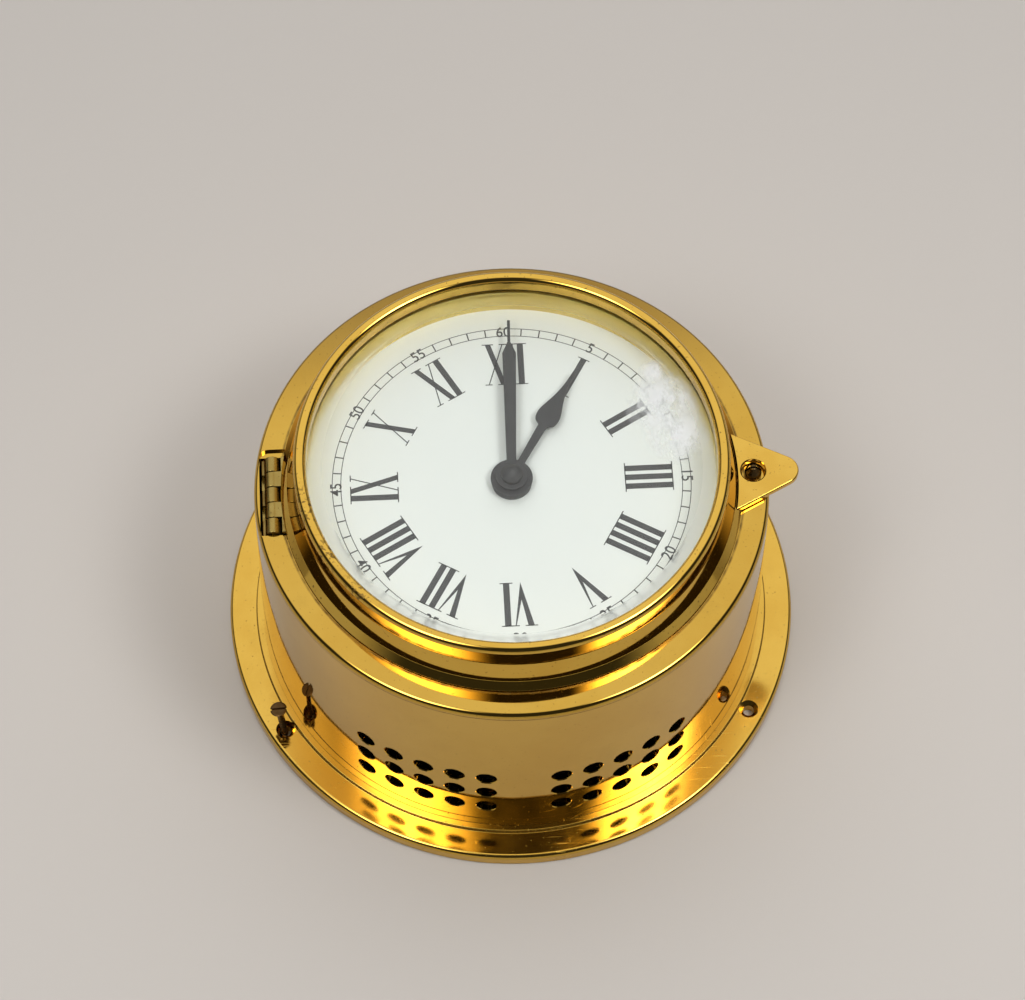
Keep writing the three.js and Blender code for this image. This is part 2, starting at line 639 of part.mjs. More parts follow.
function bezelRing() {
  const lipR = BEAD_CENTRE_R - BEAD_R;
  const inside = [[lipR, GLASS_TOP_Z], [BEZEL_BORE_R, GLASS_TOP_Z], [BEZEL_BORE_R, BEZEL_Z]];
  return turned([...bezelOutline(), ...inside]);
}

function bezelGlass() {
  return turned([
    [0, GLASS_Z], [GLASS_R, GLASS_Z], [GLASS_R, GLASS_TOP_Z - GLASS_BEVEL_H],
    [GLASS_R - GLASS_BEVEL_W, GLASS_TOP_Z], [0, GLASS_TOP_Z],
  ]);
}

function glassRetainer() {
  return tube(RETAINER_BORE_R, GLASS_R, GLASS_Z - RETAINER_H, GLASS_Z);
}

// Latch tab on the bezel, and the split stud on the rim that it snaps over
function latchTab() {
  const low = BEZEL_Z;
  const high = low + LATCH_H;
  const rootX = BEZEL_EDGE_R - LATCH_ROOT;
  const tipX = BEZEL_EDGE_R + LATCH_REACH - LATCH_APEX_R;
  const side = new THREE.Vector2(rootX - tipX, LATCH_HALF_W);
  const turn = side.angle() - Math.acos(LATCH_APEX_R / side.length());
  const outline = new THREE.Shape();
  outline.moveTo(rootX, LATCH_HALF_W);
  outline.lineTo(rootX, -LATCH_HALF_W);
  outline.absarc(tipX, 0, LATCH_APEX_R, -turn, turn);
  const around = bezelOutline().map(([radius, height]) => [radius + FIT, height]);
  const under = [[0, low - 1], [BEZEL_FOOT_R + FIT, low - 1]];
  const clear = turned([...under, ...around.slice(0, 3), [0, BEZEL_NECK_Z]]);
  return cut(plate(outline, low, high), rod(LATCH_HOLE_R, low - 1, high + 1, LATCH_HOLE_X, 0), clear);
}

function catchStud() {
  const shoulderZ = RIM_TOP_Z + CATCH_SHOULDER_H;
  const tipZ = RIM_TOP_Z + CATCH_TIP_H;
  const stud = turned([
    [0, RIM_TOP_Z], [CATCH_R, RIM_TOP_Z], [CATCH_R, shoulderZ], [CATCH_TIP_R, tipZ], [0, tipZ],
  ], 20, LATCH_HOLE_X);
  const half = CATCH_SLIT_W / 2;
  const slitZ = tipZ - CATCH_SLIT_H;
  return cut(stud, block(LATCH_HOLE_X - CATCH_R, LATCH_HOLE_X + CATCH_R, -half, half, slitZ, tipZ + 1));
}

// Hinge: three knuckles on the case leaf, two on the bezel leaf, one pin
function knuckleSpan(i) {
  const start = (i - KNUCKLE_COUNT / 2) * KNUCKLE_PITCH;
  return [start + KNUCKLE_GAP / 2, start + KNUCKLE_PITCH - KNUCKLE_GAP / 2];
}

const hingeRod = (radius, from, to) => lyingRod(radius, from, to, HINGE_X, 0, HINGE_Z, 'y', 12);
const hingeHalfL = (KNUCKLE_COUNT * KNUCKLE_PITCH - KNUCKLE_GAP) / 2;
const hingeBore = () => hingeRod(HINGE_PIN_R + PIVOT_CLEARANCE, -hingeHalfL - 1, hingeHalfL + 1);

function hingeCaseLeaf() {
  const outX = HINGE_X - KNUCKLE_R - CASE_LEAF_OUT;
  const inX = outX + CASE_LEAF_H;
  let leaf = block(outX, inX, -hingeHalfL, hingeHalfL, HINGE_Z - CASE_LEAF_L, HINGE_Z);
  for (let i = 0; i < KNUCKLE_COUNT; i++) {
    const [from, to] = knuckleSpan(i);
    if (i % 2 === 0) leaf = join(leaf, hingeRod(KNUCKLE_R, from, to));
    else {
      const low = HINGE_Z - KNUCKLE_R - FIT;
      const room = KNUCKLE_GAP / 2;
      leaf = cut(leaf, block(outX - 1, inX + 1, from - room, to + room, low, HINGE_Z + 1));
    }
  }
  return cut(leaf, hingeBore());
}

function hingeBezelLeaf() {
  const low = BEZEL_Z - BEZEL_LEAF_H;
  let leaf = block(HINGE_X, HINGE_X + BEZEL_LEAF_W, -hingeHalfL, hingeHalfL, low, BEZEL_Z);
  for (let i = 0; i < KNUCKLE_COUNT; i++) {
    const [from, to] = knuckleSpan(i);
    const room = KNUCKLE_GAP / 2;
    const reach = HINGE_X + KNUCKLE_R + FIT;
    if (i % 2 === 1) continue;
    leaf = cut(leaf, block(HINGE_X - 1, reach, from - room, to + room, low - 1, BEZEL_Z + 1));
  }
  for (let i = 1; i < KNUCKLE_COUNT; i += 2) leaf = join(leaf, hingeRod(KNUCKLE_R, ...knuckleSpan(i)));
  return cut(leaf, hingeBore());
}

// Hands, cut from thin sheet; both are drawn pointing to twelve and turned in their groups
function hourHand() {
  const shape = new THREE.Shape();
  const bulb = HOUR_BULB_W / 2;
  const neck = HOUR_NECK_W / 2;
  const tip = HOUR_TIP_W / 2;
  const swell = HOUR_BULB_R - HOUR_NECK_R;
  shape.moveTo(-HOUR_ROOT_W / 2, 0);
  shape.lineTo(-neck, HOUR_NECK_R);
  shape.quadraticCurveTo(-bulb, HOUR_NECK_R + swell / 6, -bulb, HOUR_BULB_R);
  shape.bezierCurveTo(-bulb, HOUR_BULB_R + swell, -tip, HOUR_BULB_R + 2 * swell, -tip, HOUR_TIP_R);
  shape.lineTo(tip, HOUR_TIP_R);
  shape.bezierCurveTo(tip, HOUR_BULB_R + 2 * swell, bulb, HOUR_BULB_R + swell, bulb, HOUR_BULB_R);
  shape.quadraticCurveTo(bulb, HOUR_NECK_R + swell / 6, neck, HOUR_NECK_R);
  shape.lineTo(HOUR_ROOT_W / 2, 0);
  const high = HOUR_HAND_Z + HOUR_HAND_H;
  const blank = join(plate(shape, HOUR_HAND_Z, high, 5), rod(HOUR_HUB_R, HOUR_HAND_Z, high));
  return cut(blank, rod(PIPE_END_R + PRESS_GAP, HOUR_HAND_Z - 1, high + 1));
}

function minuteHand() {
  const outline = [
    [-MINUTE_ROOT_W / 2, 0], [MINUTE_ROOT_W / 2, 0], [MINUTE_SHOULDER_W / 2, MINUTE_SHOULDER_R],
    [MINUTE_NEEDLE_W / 2, MINUTE_NEEDLE_R], [MINUTE_NEEDLE_W / 2, MINUTE_TIP_R],
    [-MINUTE_NEEDLE_W / 2, MINUTE_TIP_R], [-MINUTE_NEEDLE_W / 2, MINUTE_NEEDLE_R],
    [-MINUTE_SHOULDER_W / 2, MINUTE_SHOULDER_R],
  ].map(([x, y]) => new THREE.Vector2(x, y));
  const blank = join(plate(outline, MINUTE_HAND_Z, CAP_Z), rod(MINUTE_HUB_R, MINUTE_HAND_Z, CAP_Z));
  return cut(blank, rod(ARBOR_END_R + PRESS_GAP, MINUTE_HAND_Z - 1, CAP_Z + 1));
}

function handCap() {
  const rim = CAP_Z + CAP_RIM_H;
  const body = turned([
    [0, CAP_Z], [CAP_R, CAP_Z], [CAP_R, rim - CAP_BEVEL], [CAP_R - CAP_BEVEL, rim],
    [CAP_R * 0.55, CAP_Z + CAP_H * 0.72], [CAP_R * 0.2, CAP_Z + CAP_H * 0.88], [0, CAP_Z + CAP_H],
  ], 16);
  return cut(body, rod(ARBOR_END_R + PRESS_GAP, CAP_Z - 1, rim));
}

// Movement box: a tray with four posts, a lid with the threaded bushing, and the plate between them
const boxHalf = BOX_SIDE / 2;
const boxInner = boxHalf - BOX_WALL;
const postAt = boxHalf - POST_INSET;
const postPlaces = [[-postAt, -postAt], [postAt, -postAt], [-postAt, postAt], [postAt, postAt]];
const squareBox = (half, low, high) => block(-half, half, -half, half, low, high);
const meshDistance = (first, second, module) => ((first + second) * module) / 2 + MESH_SLACK;

const thirdPlace = at(meshDistance(CENTRE_TEETH, THIRD_PINION_TEETH, CENTRE_MODULE), THIRD_DIRECTION);
const rotorDistance = meshDistance(THIRD_TEETH, ROTOR_PINION_TEETH, THIRD_MODULE);
const rotorPlace = at(rotorDistance, ROTOR_DIRECTION).add(thirdPlace);
const motionPlace = at(meshDistance(CANNON_TEETH, MOTION_TEETH, MOTION_MODULE), MOTION_DIRECTION);
const setPlace = at(meshDistance(MOTION_TEETH, SET_TEETH, MOTION_MODULE), SET_DIRECTION).add(motionPlace);

function pivotBoss({ x, y }, pivotR) {
  const top = BOX_FLOOR_Z + BOSS_H;
  const boss = rod(BOSS_R + pivotR - PIVOT_R, BOX_Z + BOX_WALL / 2, top, x, y);
  return cut(boss, rod(pivotR + PIVOT_CLEARANCE, BOX_FLOOR_Z, top + 1, x, y));
}

function movementTray() {
  const shell = cut(squareBox(boxHalf, BOX_Z, SPLIT_Z), squareBox(boxInner, BOX_FLOOR_Z, SPLIT_Z + 1));
  const low = BOX_Z + BOX_WALL / 2;
  const posts = postPlaces.map(([x, y]) => rod(POST_R, low, MID_Z, x, y));
  const footY = -boxInner + BOARD_EDGE_GAP + BOARD_W / 2;
  const footPlaces = [BOARD_LEFT + BOSS_R, BOARD_LEFT + BOARD_L - BOSS_R];
  const boardFeet = footPlaces.map((x) => rod(BOSS_R, low, BOARD_Z, x, footY));
  const bosses = [pivotBoss(thirdPlace, PIVOT_R), pivotBoss(rotorPlace, PIVOT_R),
    pivotBoss(new THREE.Vector2(), ARBOR_FOOT_R)];
  const knobHole = rod(KNOB_SHAFT_R + PIPE_CLEARANCE, BOX_Z - 1, BOX_FLOOR_Z + 1, setPlace.x, setPlace.y);
  return cut(join(shell, ...posts, ...boardFeet, ...bosses), knobHole);
}

function movementLid() {
  const top = DIAL_Z + NUT_H - SCREW_SUNK;
  const shell = cut(squareBox(boxHalf, SPLIT_Z, BOX_TOP_Z), squareBox(boxInner, SPLIT_Z - 1, BOX_CEILING_Z));
  const bushing = rod(BUSHING_R, BOX_CEILING_Z, top);
  return cut(join(shell, bushing), rod(BUSHING_BORE_R, SPLIT_Z, top + 1));
}

function midPlate() {
  const low = MID_Z - 1;
  const high = SPLIT_Z + 1;
  const pivotHoleR = PIVOT_R + PIVOT_CLEARANCE;
  const pivotHoles = [thirdPlace, rotorPlace].map(({ x, y }) => rod(pivotHoleR, low, high, x, y));
  const holes = [
    rod(PIPE_BORE_R, low, high),
    rod(KNOB_SHAFT_R + PIPE_CLEARANCE, low, high, setPlace.x, setPlace.y),
    ...pivotHoles,
  ];
  const studTop = BOX_CEILING_Z - PRESS_GAP;
  const stud = rod(MOTION_STUD_R, MID_Z + MID_PLATE_H / 2, studTop, motionPlace.x, motionPlace.y);
  return cut(join(squareBox(boxInner - FIT, MID_Z, SPLIT_Z), stud), ...holes);
}

// Wheels on their arbors; each phase angle follows from the wheel that drives it
const thirdPinionPhase = meshPhase(THIRD_DIRECTION, 0, CENTRE_TEETH, THIRD_PINION_TEETH);
const rotorPhase = meshPhase(ROTOR_DIRECTION, 0, THIRD_TEETH, ROTOR_PINION_TEETH);
const motionPhase = meshPhase(MOTION_DIRECTION, 0, CANNON_TEETH, MOTION_TEETH);
const hourPhase = meshPhase(MOTION_DIRECTION - 180, 0, MOTION_PINION_TEETH, HOUR_TEETH);
const setPhase = meshPhase(SET_DIRECTION, motionPhase, MOTION_TEETH, SET_TEETH);

function minuteArbor() {
  const end = CAP_Z + CAP_RIM_H - FIT;
  const arbor = turned([
    [0, BOX_FLOOR_Z], [ARBOR_FOOT_R, BOX_FLOOR_Z], [ARBOR_FOOT_R, CENTRE_WHEEL_Z], [ARBOR_R, CENTRE_WHEEL_Z],
    [ARBOR_R, MINUTE_HAND_Z], [ARBOR_END_R, MINUTE_HAND_Z], [ARBOR_END_R, end], [0, end],
  ], 12);
  const wheel = gear(CENTRE_TEETH, CENTRE_MODULE, CENTRE_WHEEL_Z, CENTRE_WHEEL_Z + WHEEL_H, 0, 0, 0);
  return join(arbor, wheel, gear(CANNON_TEETH, MOTION_MODULE, CANNON_Z, MOTION_PINION_Z, 0, 0, 0));
}

function thirdWheel() {
  const { x, y } = thirdPlace;
  const high = THIRD_WHEEL_Z + WHEEL_H;
  const arbor = rod(PIVOT_R, BOX_FLOOR_Z, SPLIT_Z, x, y);
  const body = rod(THIRD_ARBOR_R, THIRD_WHEEL_Z - WHEEL_H, high, x, y);
  const wheel = gear(THIRD_TEETH, THIRD_MODULE, THIRD_WHEEL_Z, high, x, y, 0);
  const pinionLow = high - PRESS_GAP;
  const pinionHigh = MID_Z - PRESS_GAP;
  const pinion = gear(THIRD_PINION_TEETH, CENTRE_MODULE, pinionLow, pinionHigh, x, y, thirdPinionPhase);
  return join(arbor, body, wheel, pinion);
}

function rotor() {
  const { x, y } = rotorPlace;
  const arbor = rod(PIVOT_R, BOX_FLOOR_Z, SPLIT_Z, x, y);
  const magnet = rod(ROTOR_MAGNET_R, ROTOR_MAGNET_Z, ROTOR_MAGNET_Z + ROTOR_MAGNET_H, x, y);
  const pinionTop = ROTOR_PINION_Z + ROTOR_PINION_H;
  const pinion = gear(ROTOR_PINION_TEETH, THIRD_MODULE, ROTOR_PINION_Z, pinionTop, x, y, rotorPhase);
  return join(arbor, magnet, pinion);
}

function motionWheel() {
  const { x, y } = motionPlace;
  const low = CANNON_Z + PRESS_GAP;
  const high = HOUR_WHEEL_Z + WHEEL_H;
  const wheel = gear(MOTION_TEETH, MOTION_MODULE, low, MOTION_PINION_Z, x, y, motionPhase);
  const pinion = gear(MOTION_PINION_TEETH, MOTION_MODULE, MOTION_PINION_Z - PRESS_GAP, high, x, y, 0);
  return cut(join(wheel, pinion), rod(MOTION_STUD_R + PIVOT_CLEARANCE, CANNON_Z, high + 1, x, y));
}

function hourWheel() {
  const end = HOUR_HAND_Z + HOUR_HAND_H + PIPE_END_H;
  const pipe = turned([
    [PIPE_BORE_R, HOUR_WHEEL_Z], [PIPE_R, HOUR_WHEEL_Z], [PIPE_R, HOUR_HAND_Z], [PIPE_END_R, HOUR_HAND_Z],
    [PIPE_END_R, end], [PIPE_BORE_R, end],
  ], 16);
  const high = HOUR_WHEEL_Z + WHEEL_H - MOTION_GAP;
  const wheel = gear(HOUR_TEETH, MOTION_MODULE, HOUR_WHEEL_Z, high, 0, 0, hourPhase);
  return join(pipe, cut(wheel, rod(PIPE_R - PRESS_GAP, HOUR_WHEEL_Z - 1, high + 1)));
}

function settingKnob() {
  const { x, y } = setPlace;
  const top = BOX_Z - FIT;
  const knob = rod(KNOB_R, top - KNOB_H, top, x, y);
  const shaft = rod(KNOB_SHAFT_R, top - KNOB_H / 2, MOTION_PINION_Z, x, y);
  const wheel = gear(SET_TEETH, MOTION_MODULE, CANNON_Z + PRESS_GAP, MOTION_PINION_Z, x, y, setPhase);
  return join(knob, shaft, wheel);
}

// Stepping motor: laminated stator, coil on its right leg, and the board with the quartz crystal
const statorLeft = rotorPlace.x - STATOR_BAR;
const statorRight = boxInner - STATOR_EDGE_GAP;
const statorTop = rotorPlace.y + STATOR_HEAD;
const statorBottom = statorTop - STATOR_L;
const coilX = statorRight - STATOR_BAR / 2;
const coilTop = statorTop - COIL_TO_HEAD;

function stator() {
  const outline = roundedRectangle(statorLeft, statorRight, statorBottom, statorTop, 1);
  const windowTop = rotorPlace.y - STATOR_HEAD;
  outline.holes.push(roundedRectangle(statorLeft + STATOR_BAR, statorRight - STATOR_BAR,
    statorBottom + STATOR_BAR, windowTop, 0.5));
  const frame = plate(outline, STATOR_Z, STATOR_Z + STATOR_H, 2);
  const top = STATOR_Z + STATOR_H;
  return cut(frame, rod(STATOR_HOLE_R, STATOR_Z - 1, top + 1, rotorPlace.x, rotorPlace.y, 16));
}

function motorCoil() {
  const z = STATOR_Z + STATOR_H / 2;
  const bore = STATOR_BAR / 2 + COIL_SLEEVE;
  const boreH = STATOR_H / 2 + COIL_SLEEVE;
  const halfW = COIL_W / 2;
  const halfH = COIL_H / 2;
  const winding = roundedRectangle(coilX - halfW, coilX + halfW, -halfH, halfH, COIL_H / 3);
  const options = { depth: COIL_L, bevelEnabled: false, curveSegments: 3 };
  const geometry = new THREE.ExtrudeGeometry(winding, options);
  const body = solid(geometry.rotateX(Math.PI / 2).translate(0, coilTop, z));
  const low = coilTop - COIL_L;
  return cut(body, block(coilX - bore, coilX + bore, low - 1, coilTop + 1, z - boreH, z + boreH));
}

const boardLow = -boxInner + BOARD_EDGE_GAP;
const movementBoard = () =>
  block(BOARD_LEFT, BOARD_LEFT + BOARD_L, boardLow, boardLow + BOARD_W, BOARD_Z, BOARD_Z + BOARD_H);
const crystalZ = BOARD_Z + BOARD_H + CRYSTAL_R;
const crystalCan = () => lyingRod(CRYSTAL_R, 0, CRYSTAL_L, 0, boardLow + BOARD_W / 2, crystalZ, 'x');

// Chassis plate on three pillars, with its screws
const pillarPlaces = FIXING_ANGLES.map((angle) => at(PILLAR_CIRCLE_R, angle));
const boardRight = STRIKE_BOARD_X + STRIKE_BOARD_W;
const boardTop = STRIKE_BOARD_LOW + STRIKE_BOARD_L;
const boardBossPlaces = [
  [STRIKE_BOARD_X + STRIKE_BOARD_BOSS_INSET, STRIKE_BOARD_LOW + STRIKE_BOARD_BOSS_INSET],
  [boardRight - STRIKE_BOARD_BOSS_INSET, boardTop - STRIKE_BOARD_BOSS_INSET],
];
const movementLeadY = boardTop - LEAD_INSET;
const leadHole = [STRIKE_BOARD_X - LEAD_HOLE_OUT, movementLeadY];

function chassisPlate() {
  const base = rod(CHASSIS_R, CHASSIS_Z, CHASSIS_TOP_Z, 0, 0, 36);
  const boss = ([x, y]) => rod(STRIKE_BOARD_BOSS_R, STRIKE_BOARD_TOP_Z, CHASSIS_Z + 1, x, y);
  const bosses = boardBossPlaces.map(boss);
  const low = CHASSIS_Z - 1;
  const high = CHASSIS_TOP_Z + 1;
  const holes = pillarPlaces.map(({ x, y }) => rod(CHASSIS_SCREW_R + FIT, low, high, x, y));
  return cut(join(base, ...bosses), ...holes, rod(LEAD_HOLE_R, low, high, ...leadHole));
}

function chassisPillar() {
  const bore = rod(CHASSIS_SCREW_R + FIT, CHASSIS_Z, CHASSIS_Z + CHASSIS_SCREW_L + 1);
  return cut(rod(PILLAR_R, CHASSIS_TOP_Z, DRUM_TOP_Z, 0, 0, 16), bore);
}

function chassisScrew() {
  const low = CHASSIS_Z - CHASSIS_SCREW_HEAD_H;
  const head = rod(CHASSIS_SCREW_HEAD_R, low, CHASSIS_Z, 0, 0, 16);
  const shank = rod(CHASSIS_SCREW_R, low + 1, CHASSIS_Z + CHASSIS_SCREW_L);
  const half = SCREW_SLOT_W / 2;
  const reach = CHASSIS_SCREW_HEAD_R + 1;
  return cut(join(head, shank), block(-reach, reach, -half, half, low - 1, low + SCREW_SLOT_H));
}

// Bell cup with its mouth towards the chassis, on a post with a stud and nut
function bellCup() {
  const inner = BELL_R - BELL_WALL;
  const bore = BELL_STUD_R + FIT;
  const steps = 5;
  const outside = [];
  const inside = [];
  for (let i = 1; i <= steps; i++) {
    const angle = (Math.PI / 2) * (i / steps);
    outside.push([BELL_R * Math.sin(angle), BELL_MOUTH_Z - BELL_DEPTH * Math.cos(angle)]);
    inside.unshift([inner * Math.sin(angle), BELL_MOUTH_Z - (BELL_DEPTH - BELL_WALL) * Math.cos(angle)]);
  }
  const crown = BELL_R / 7;
  const crownTop = BELL_CROWN_Z + BELL_WALL;
  const low = [[bore, BELL_CROWN_Z], [crown, BELL_CROWN_Z]];
  const high = [[crown, crownTop], [bore, crownTop]];
  return turned([...low, ...outside, ...inside, ...high], 32, BELL_X, BELL_Y);
}

function bellPost() {
  const seat = BELL_CROWN_Z + BELL_WALL;
  const stud = rod(BELL_STUD_R, BELL_CROWN_Z - BELL_NUT_H, seat + 1, BELL_X, BELL_Y);
  return join(rod(BELL_POST_R, seat, CHASSIS_Z, BELL_X, BELL_Y), stud);
}

function bellNut() {
  const low = BELL_CROWN_Z - BELL_NUT_H;
  const nut = rod(BELL_NUT_R, low, BELL_CROWN_Z, BELL_X, BELL_Y, 6);
  return cut(nut, rod(BELL_STUD_R + PRESS_GAP, low - 1, BELL_CROWN_Z + 1, BELL_X, BELL_Y));
}

// Hammer on its pivot; its tail carries the iron armature that the electromagnet pulls
const armTop = HAMMER_Z + HAMMER_ARM_H / 2;
const armLow = HAMMER_Z - HAMMER_ARM_H / 2;

function hammerPivot() {
  const collarTop = armLow - HAMMER_PLAY;
  const shoulder = armTop + HAMMER_PLAY;
  const collarLow = collarTop - HAMMER_COLLAR_H;
  return turned([
    [0, collarLow], [HAMMER_COLLAR_R, collarLow], [HAMMER_COLLAR_R, collarTop], [HAMMER_PIVOT_R, collarTop],
    [HAMMER_PIVOT_R, shoulder], [HAMMER_COLLAR_R, shoulder], [HAMMER_COLLAR_R, CHASSIS_Z], [0, CHASSIS_Z],
  ], 16, HAMMER_X, HAMMER_Y);
}

function hammerArm() {
  const half = HAMMER_ARM_W / 2;
  const headX = BELL_X - BELL_R - HAMMER_STROKE;
  const neckX = headX - HAMMER_HEAD_L / 2;
  const outline = [
    [HAMMER_X - half, HAMMER_Y], [HAMMER_X + half, HAMMER_Y], [neckX + half, BELL_Y], [neckX - half, BELL_Y],
  ].map(([x, y]) => new THREE.Vector2(x, y));
  const head = lyingRod(HAMMER_HEAD_R, headX - HAMMER_HEAD_L, headX, 0, BELL_Y, HAMMER_Z, 'x', 16);
  const hub = rod(HAMMER_HUB_R, armLow, armTop, HAMMER_X, HAMMER_Y);
  const tail = block(HAMMER_X - half, HAMMER_X + half, TAIL_Y, HAMMER_Y, armLow, armTop);
  const pole = ARMATURE_W / 2;
  const armature = block(HAMMER_X - pole, HAMMER_X + pole, TAIL_Y - TAIL_END, TAIL_Y + TAIL_END,
    HAMMER_Z - ARMATURE_H / 2, HAMMER_Z + ARMATURE_H / 2);
  const body = join(plate(outline, armLow, armTop), hub, tail, head, armature);
  return cut(body, rod(HAMMER_PIVOT_R + PIVOT_CLEARANCE, armLow - 1, armTop + 1, HAMMER_X, HAMMER_Y));
}

// Electromagnet: iron core, winding, and a yoke fixed under the chassis
const magnetRod = (radius, from, to) => lyingRod(radius, from, to, 0, TAIL_Y, HAMMER_Z, 'x', 16);

const magnetCore = () => magnetRod(MAGNET_CORE_R, MAGNET_OUT_X, MAGNET_POLE_X);

function magnetYoke() {
  const half = MAGNET_W / 2;
  const low = HAMMER_Z - half;
  const outer = block(MAGNET_OUT_X, MAGNET_IN_X, TAIL_Y - half, TAIL_Y + half, low, CHASSIS_Z);
  const room = block(MAGNET_OUT_X + MAGNET_PLATE_H, MAGNET_IN_X - MAGNET_PLATE_H, TAIL_Y - half - 1,
    TAIL_Y + half + 1, low - 1, CHASSIS_Z - MAGNET_PLATE_H);
  return cut(outer, room, magnetRod(MAGNET_CORE_R + PRESS_GAP, MAGNET_OUT_X - 1, MAGNET_IN_X + 1));
}

function magnetCoil() {
  const from = MAGNET_OUT_X + MAGNET_PLATE_H + MAGNET_COIL_GAP;
  const to = MAGNET_IN_X - MAGNET_PLATE_H - MAGNET_COIL_GAP;
  return cut(magnetRod(MAGNET_COIL_R, from, to), magnetRod(MAGNET_CORE_R + PRESS_GAP, from - 1, to + 1));
}

// Battery holder for two cells side by side, open towards the back cover
const cellPlaces = [HOLDER_Y - CELL_R - FIT / 2, HOLDER_Y + CELL_R + FIT / 2];
const holderTop = CHASSIS_Z - HOLDER_WALL;
const cellZ = holderTop - CELL_R;

function batteryHolder() {
  const low = holderTop - HOLDER_SIDE_DROP;
  const outer = [-HOLDER_OUT_X, HOLDER_OUT_X, HOLDER_Y - HOLDER_OUT_Y, HOLDER_Y + HOLDER_OUT_Y];
  const inner = [-HOLDER_HALF_X, HOLDER_HALF_X, HOLDER_Y - HOLDER_HALF_Y, HOLDER_Y + HOLDER_HALF_Y];
  const body = block(...outer, low, CHASSIS_Z);
  const room = block(...inner, low - 1, holderTop);
  return cut(body, room);
}

function batteryCell(y, side) {
  const can = lyingRod(CELL_R, -CELL_L / 2, CELL_L / 2, 0, y, cellZ, 'x', 24);
  const end = (side * CELL_L) / 2;
  const [from, to] = [end - side * CELL_NUB_H, end + side * CELL_NUB_H].sort((a, b) => a - b);
  return join(can, lyingRod(CELL_NUB_R, from, to, 0, y, cellZ, 'x', 12));
}

// Spring contacts at the ends of the cells: one bridges them, two are the terminals
function cellContact(side, fromY, toY) {
  const wallX = side * HOLDER_HALF_X;
  const [x0, x1] = [wallX, wallX - side * CONTACT_H].sort((a, b) => a - b);
  return block(x0, x1, fromY, toY, cellZ - CONTACT_W / 2, holderTop - CONTACT_DROP);
}

const bridgeContact = () => cellContact(-1, cellPlaces[0] - CONTACT_W / 2, cellPlaces[1] + CONTACT_W / 2);
const endContact = (y) => cellContact(1, y - CONTACT_W / 2, y + CONTACT_W / 2);

// Striking board and the twin leads between holder, board and movement
const strikeBoard = () =>
  block(STRIKE_BOARD_X, boardRight, STRIKE_BOARD_LOW, boardTop, STRIKE_BOARD_Z, STRIKE_BOARD_TOP_Z);
const leadZ = (STRIKE_BOARD_Z + STRIKE_BOARD_TOP_Z) / 2;

function lead(points) {
  const route = new THREE.CatmullRomCurve3(points.map((point) => new THREE.Vector3(...point)));
  const section = new THREE.Shape(Array.from({ length: 6 }, (_, i) => at(LEAD_R, i * 60)));
  return solid(new THREE.ExtrudeGeometry(section, { steps: 14, bevelEnabled: false, extrudePath: route }));
}

function batteryLead() {
  const from = new THREE.Vector3(HOLDER_OUT_X + FIT, HOLDER_Y + HOLDER_OUT_Y - LEAD_LOW, leadZ - LEAD_HOLE_R);
  const to = new THREE.Vector3(STRIKE_BOARD_X - FIT, STRIKE_BOARD_LOW + LEAD_INSET, leadZ);
  const middle = from.clone().lerp(to, 0.4).setZ(from.z);
  return lead([from, middle, to.clone().setX(to.x - LEAD_INSET), to].map((point) => point.toArray()));
}

function movementLead() {
  const [holeX, holeY] = leadHole;
  const end = [boxHalf - LEAD_BOX_INSET, -LEAD_LOW];
  const rise = BOX_Z - FIT - CHASSIS_TOP_Z;
  const above = (share, turn) => [
    holeX + (end[0] - holeX) * turn, holeY + (end[1] - holeY) * turn, CHASSIS_TOP_Z + rise * share,
  ];
  return lead([
    [STRIKE_BOARD_X - FIT, movementLeadY, leadZ], [holeX + LEAD_HOLE_R + 1, holeY, STRIKE_BOARD_TOP_Z],
    [holeX, holeY, CHASSIS_Z + CHASSIS_H / 2],
    above(0.35, 0.15), above(0.6, 0.6), above(0.8, 0.97), above(1, 1),
  ]);
}

// Loose mounting screw with a slotted countersunk head
function mountingScrew() {
  const headZ = SCREW_LENGTH - SCREW_HEAD_H;
  const body = turned([
    [0, 0], [SCREW_TIP_R, 0], [SCREW_R, SCREW_TIP_H], [SCREW_R, headZ],
    [SCREW_HEAD_R, SCREW_LENGTH - 2 * SCREW_HEAD_EDGE], [SCREW_HEAD_R, SCREW_LENGTH - SCREW_HEAD_EDGE],
    [SCREW_HEAD_R * 0.75, SCREW_LENGTH], [0, SCREW_LENGTH],
  ], 16);
  const half = SCREW_SLOT_W / 2;
  const reach = SCREW_HEAD_R + 1;
  const slotLow = SCREW_LENGTH - SCREW_SLOT_H;
  const slot = block(-reach, reach, -half, half, slotLow, SCREW_LENGTH + 1);
  return cut(body, slot);
}

// Assembly
add('mounting_flange', mountingFlange(), brass);
add('drum_shell', drumShell(), brass);
add('front_rim', frontRim(), brass);
add('back_cover', backCover(), blackPaint);
coverScrewPlaces().forEach(({ x, y }, i) => {
  add(`cover_screw_${i + 1}`, coverScrew(), steel).position.set(x, y, 0);
});
add('dial_plate', dialPlate(), whitePaint);
add('dial_collar', dialCollar(), brass);
add('centre_nut', centreNut(), blackPaint);
add('catch_stud', catchStud(), darkBrass);
add('hinge_case_leaf', hingeCaseLeaf(), wornBrass);
add('hinge_pin', hingeRod(HINGE_PIN_R, -hingeHalfL, hingeHalfL), wornBrass);

const bezel = new THREE.Group();
clock.add(bezel);
add('bezel_ring', bezelRing(), brass, bezel);
add('bezel_glass', bezelGlass(), clearGlass, bezel);
add('glass_retainer', glassRetainer(), brass, bezel);
add('latch_tab', latchTab(), brass, bezel);
add('hinge_bezel_leaf', hingeBezelLeaf(), wornBrass, bezel);

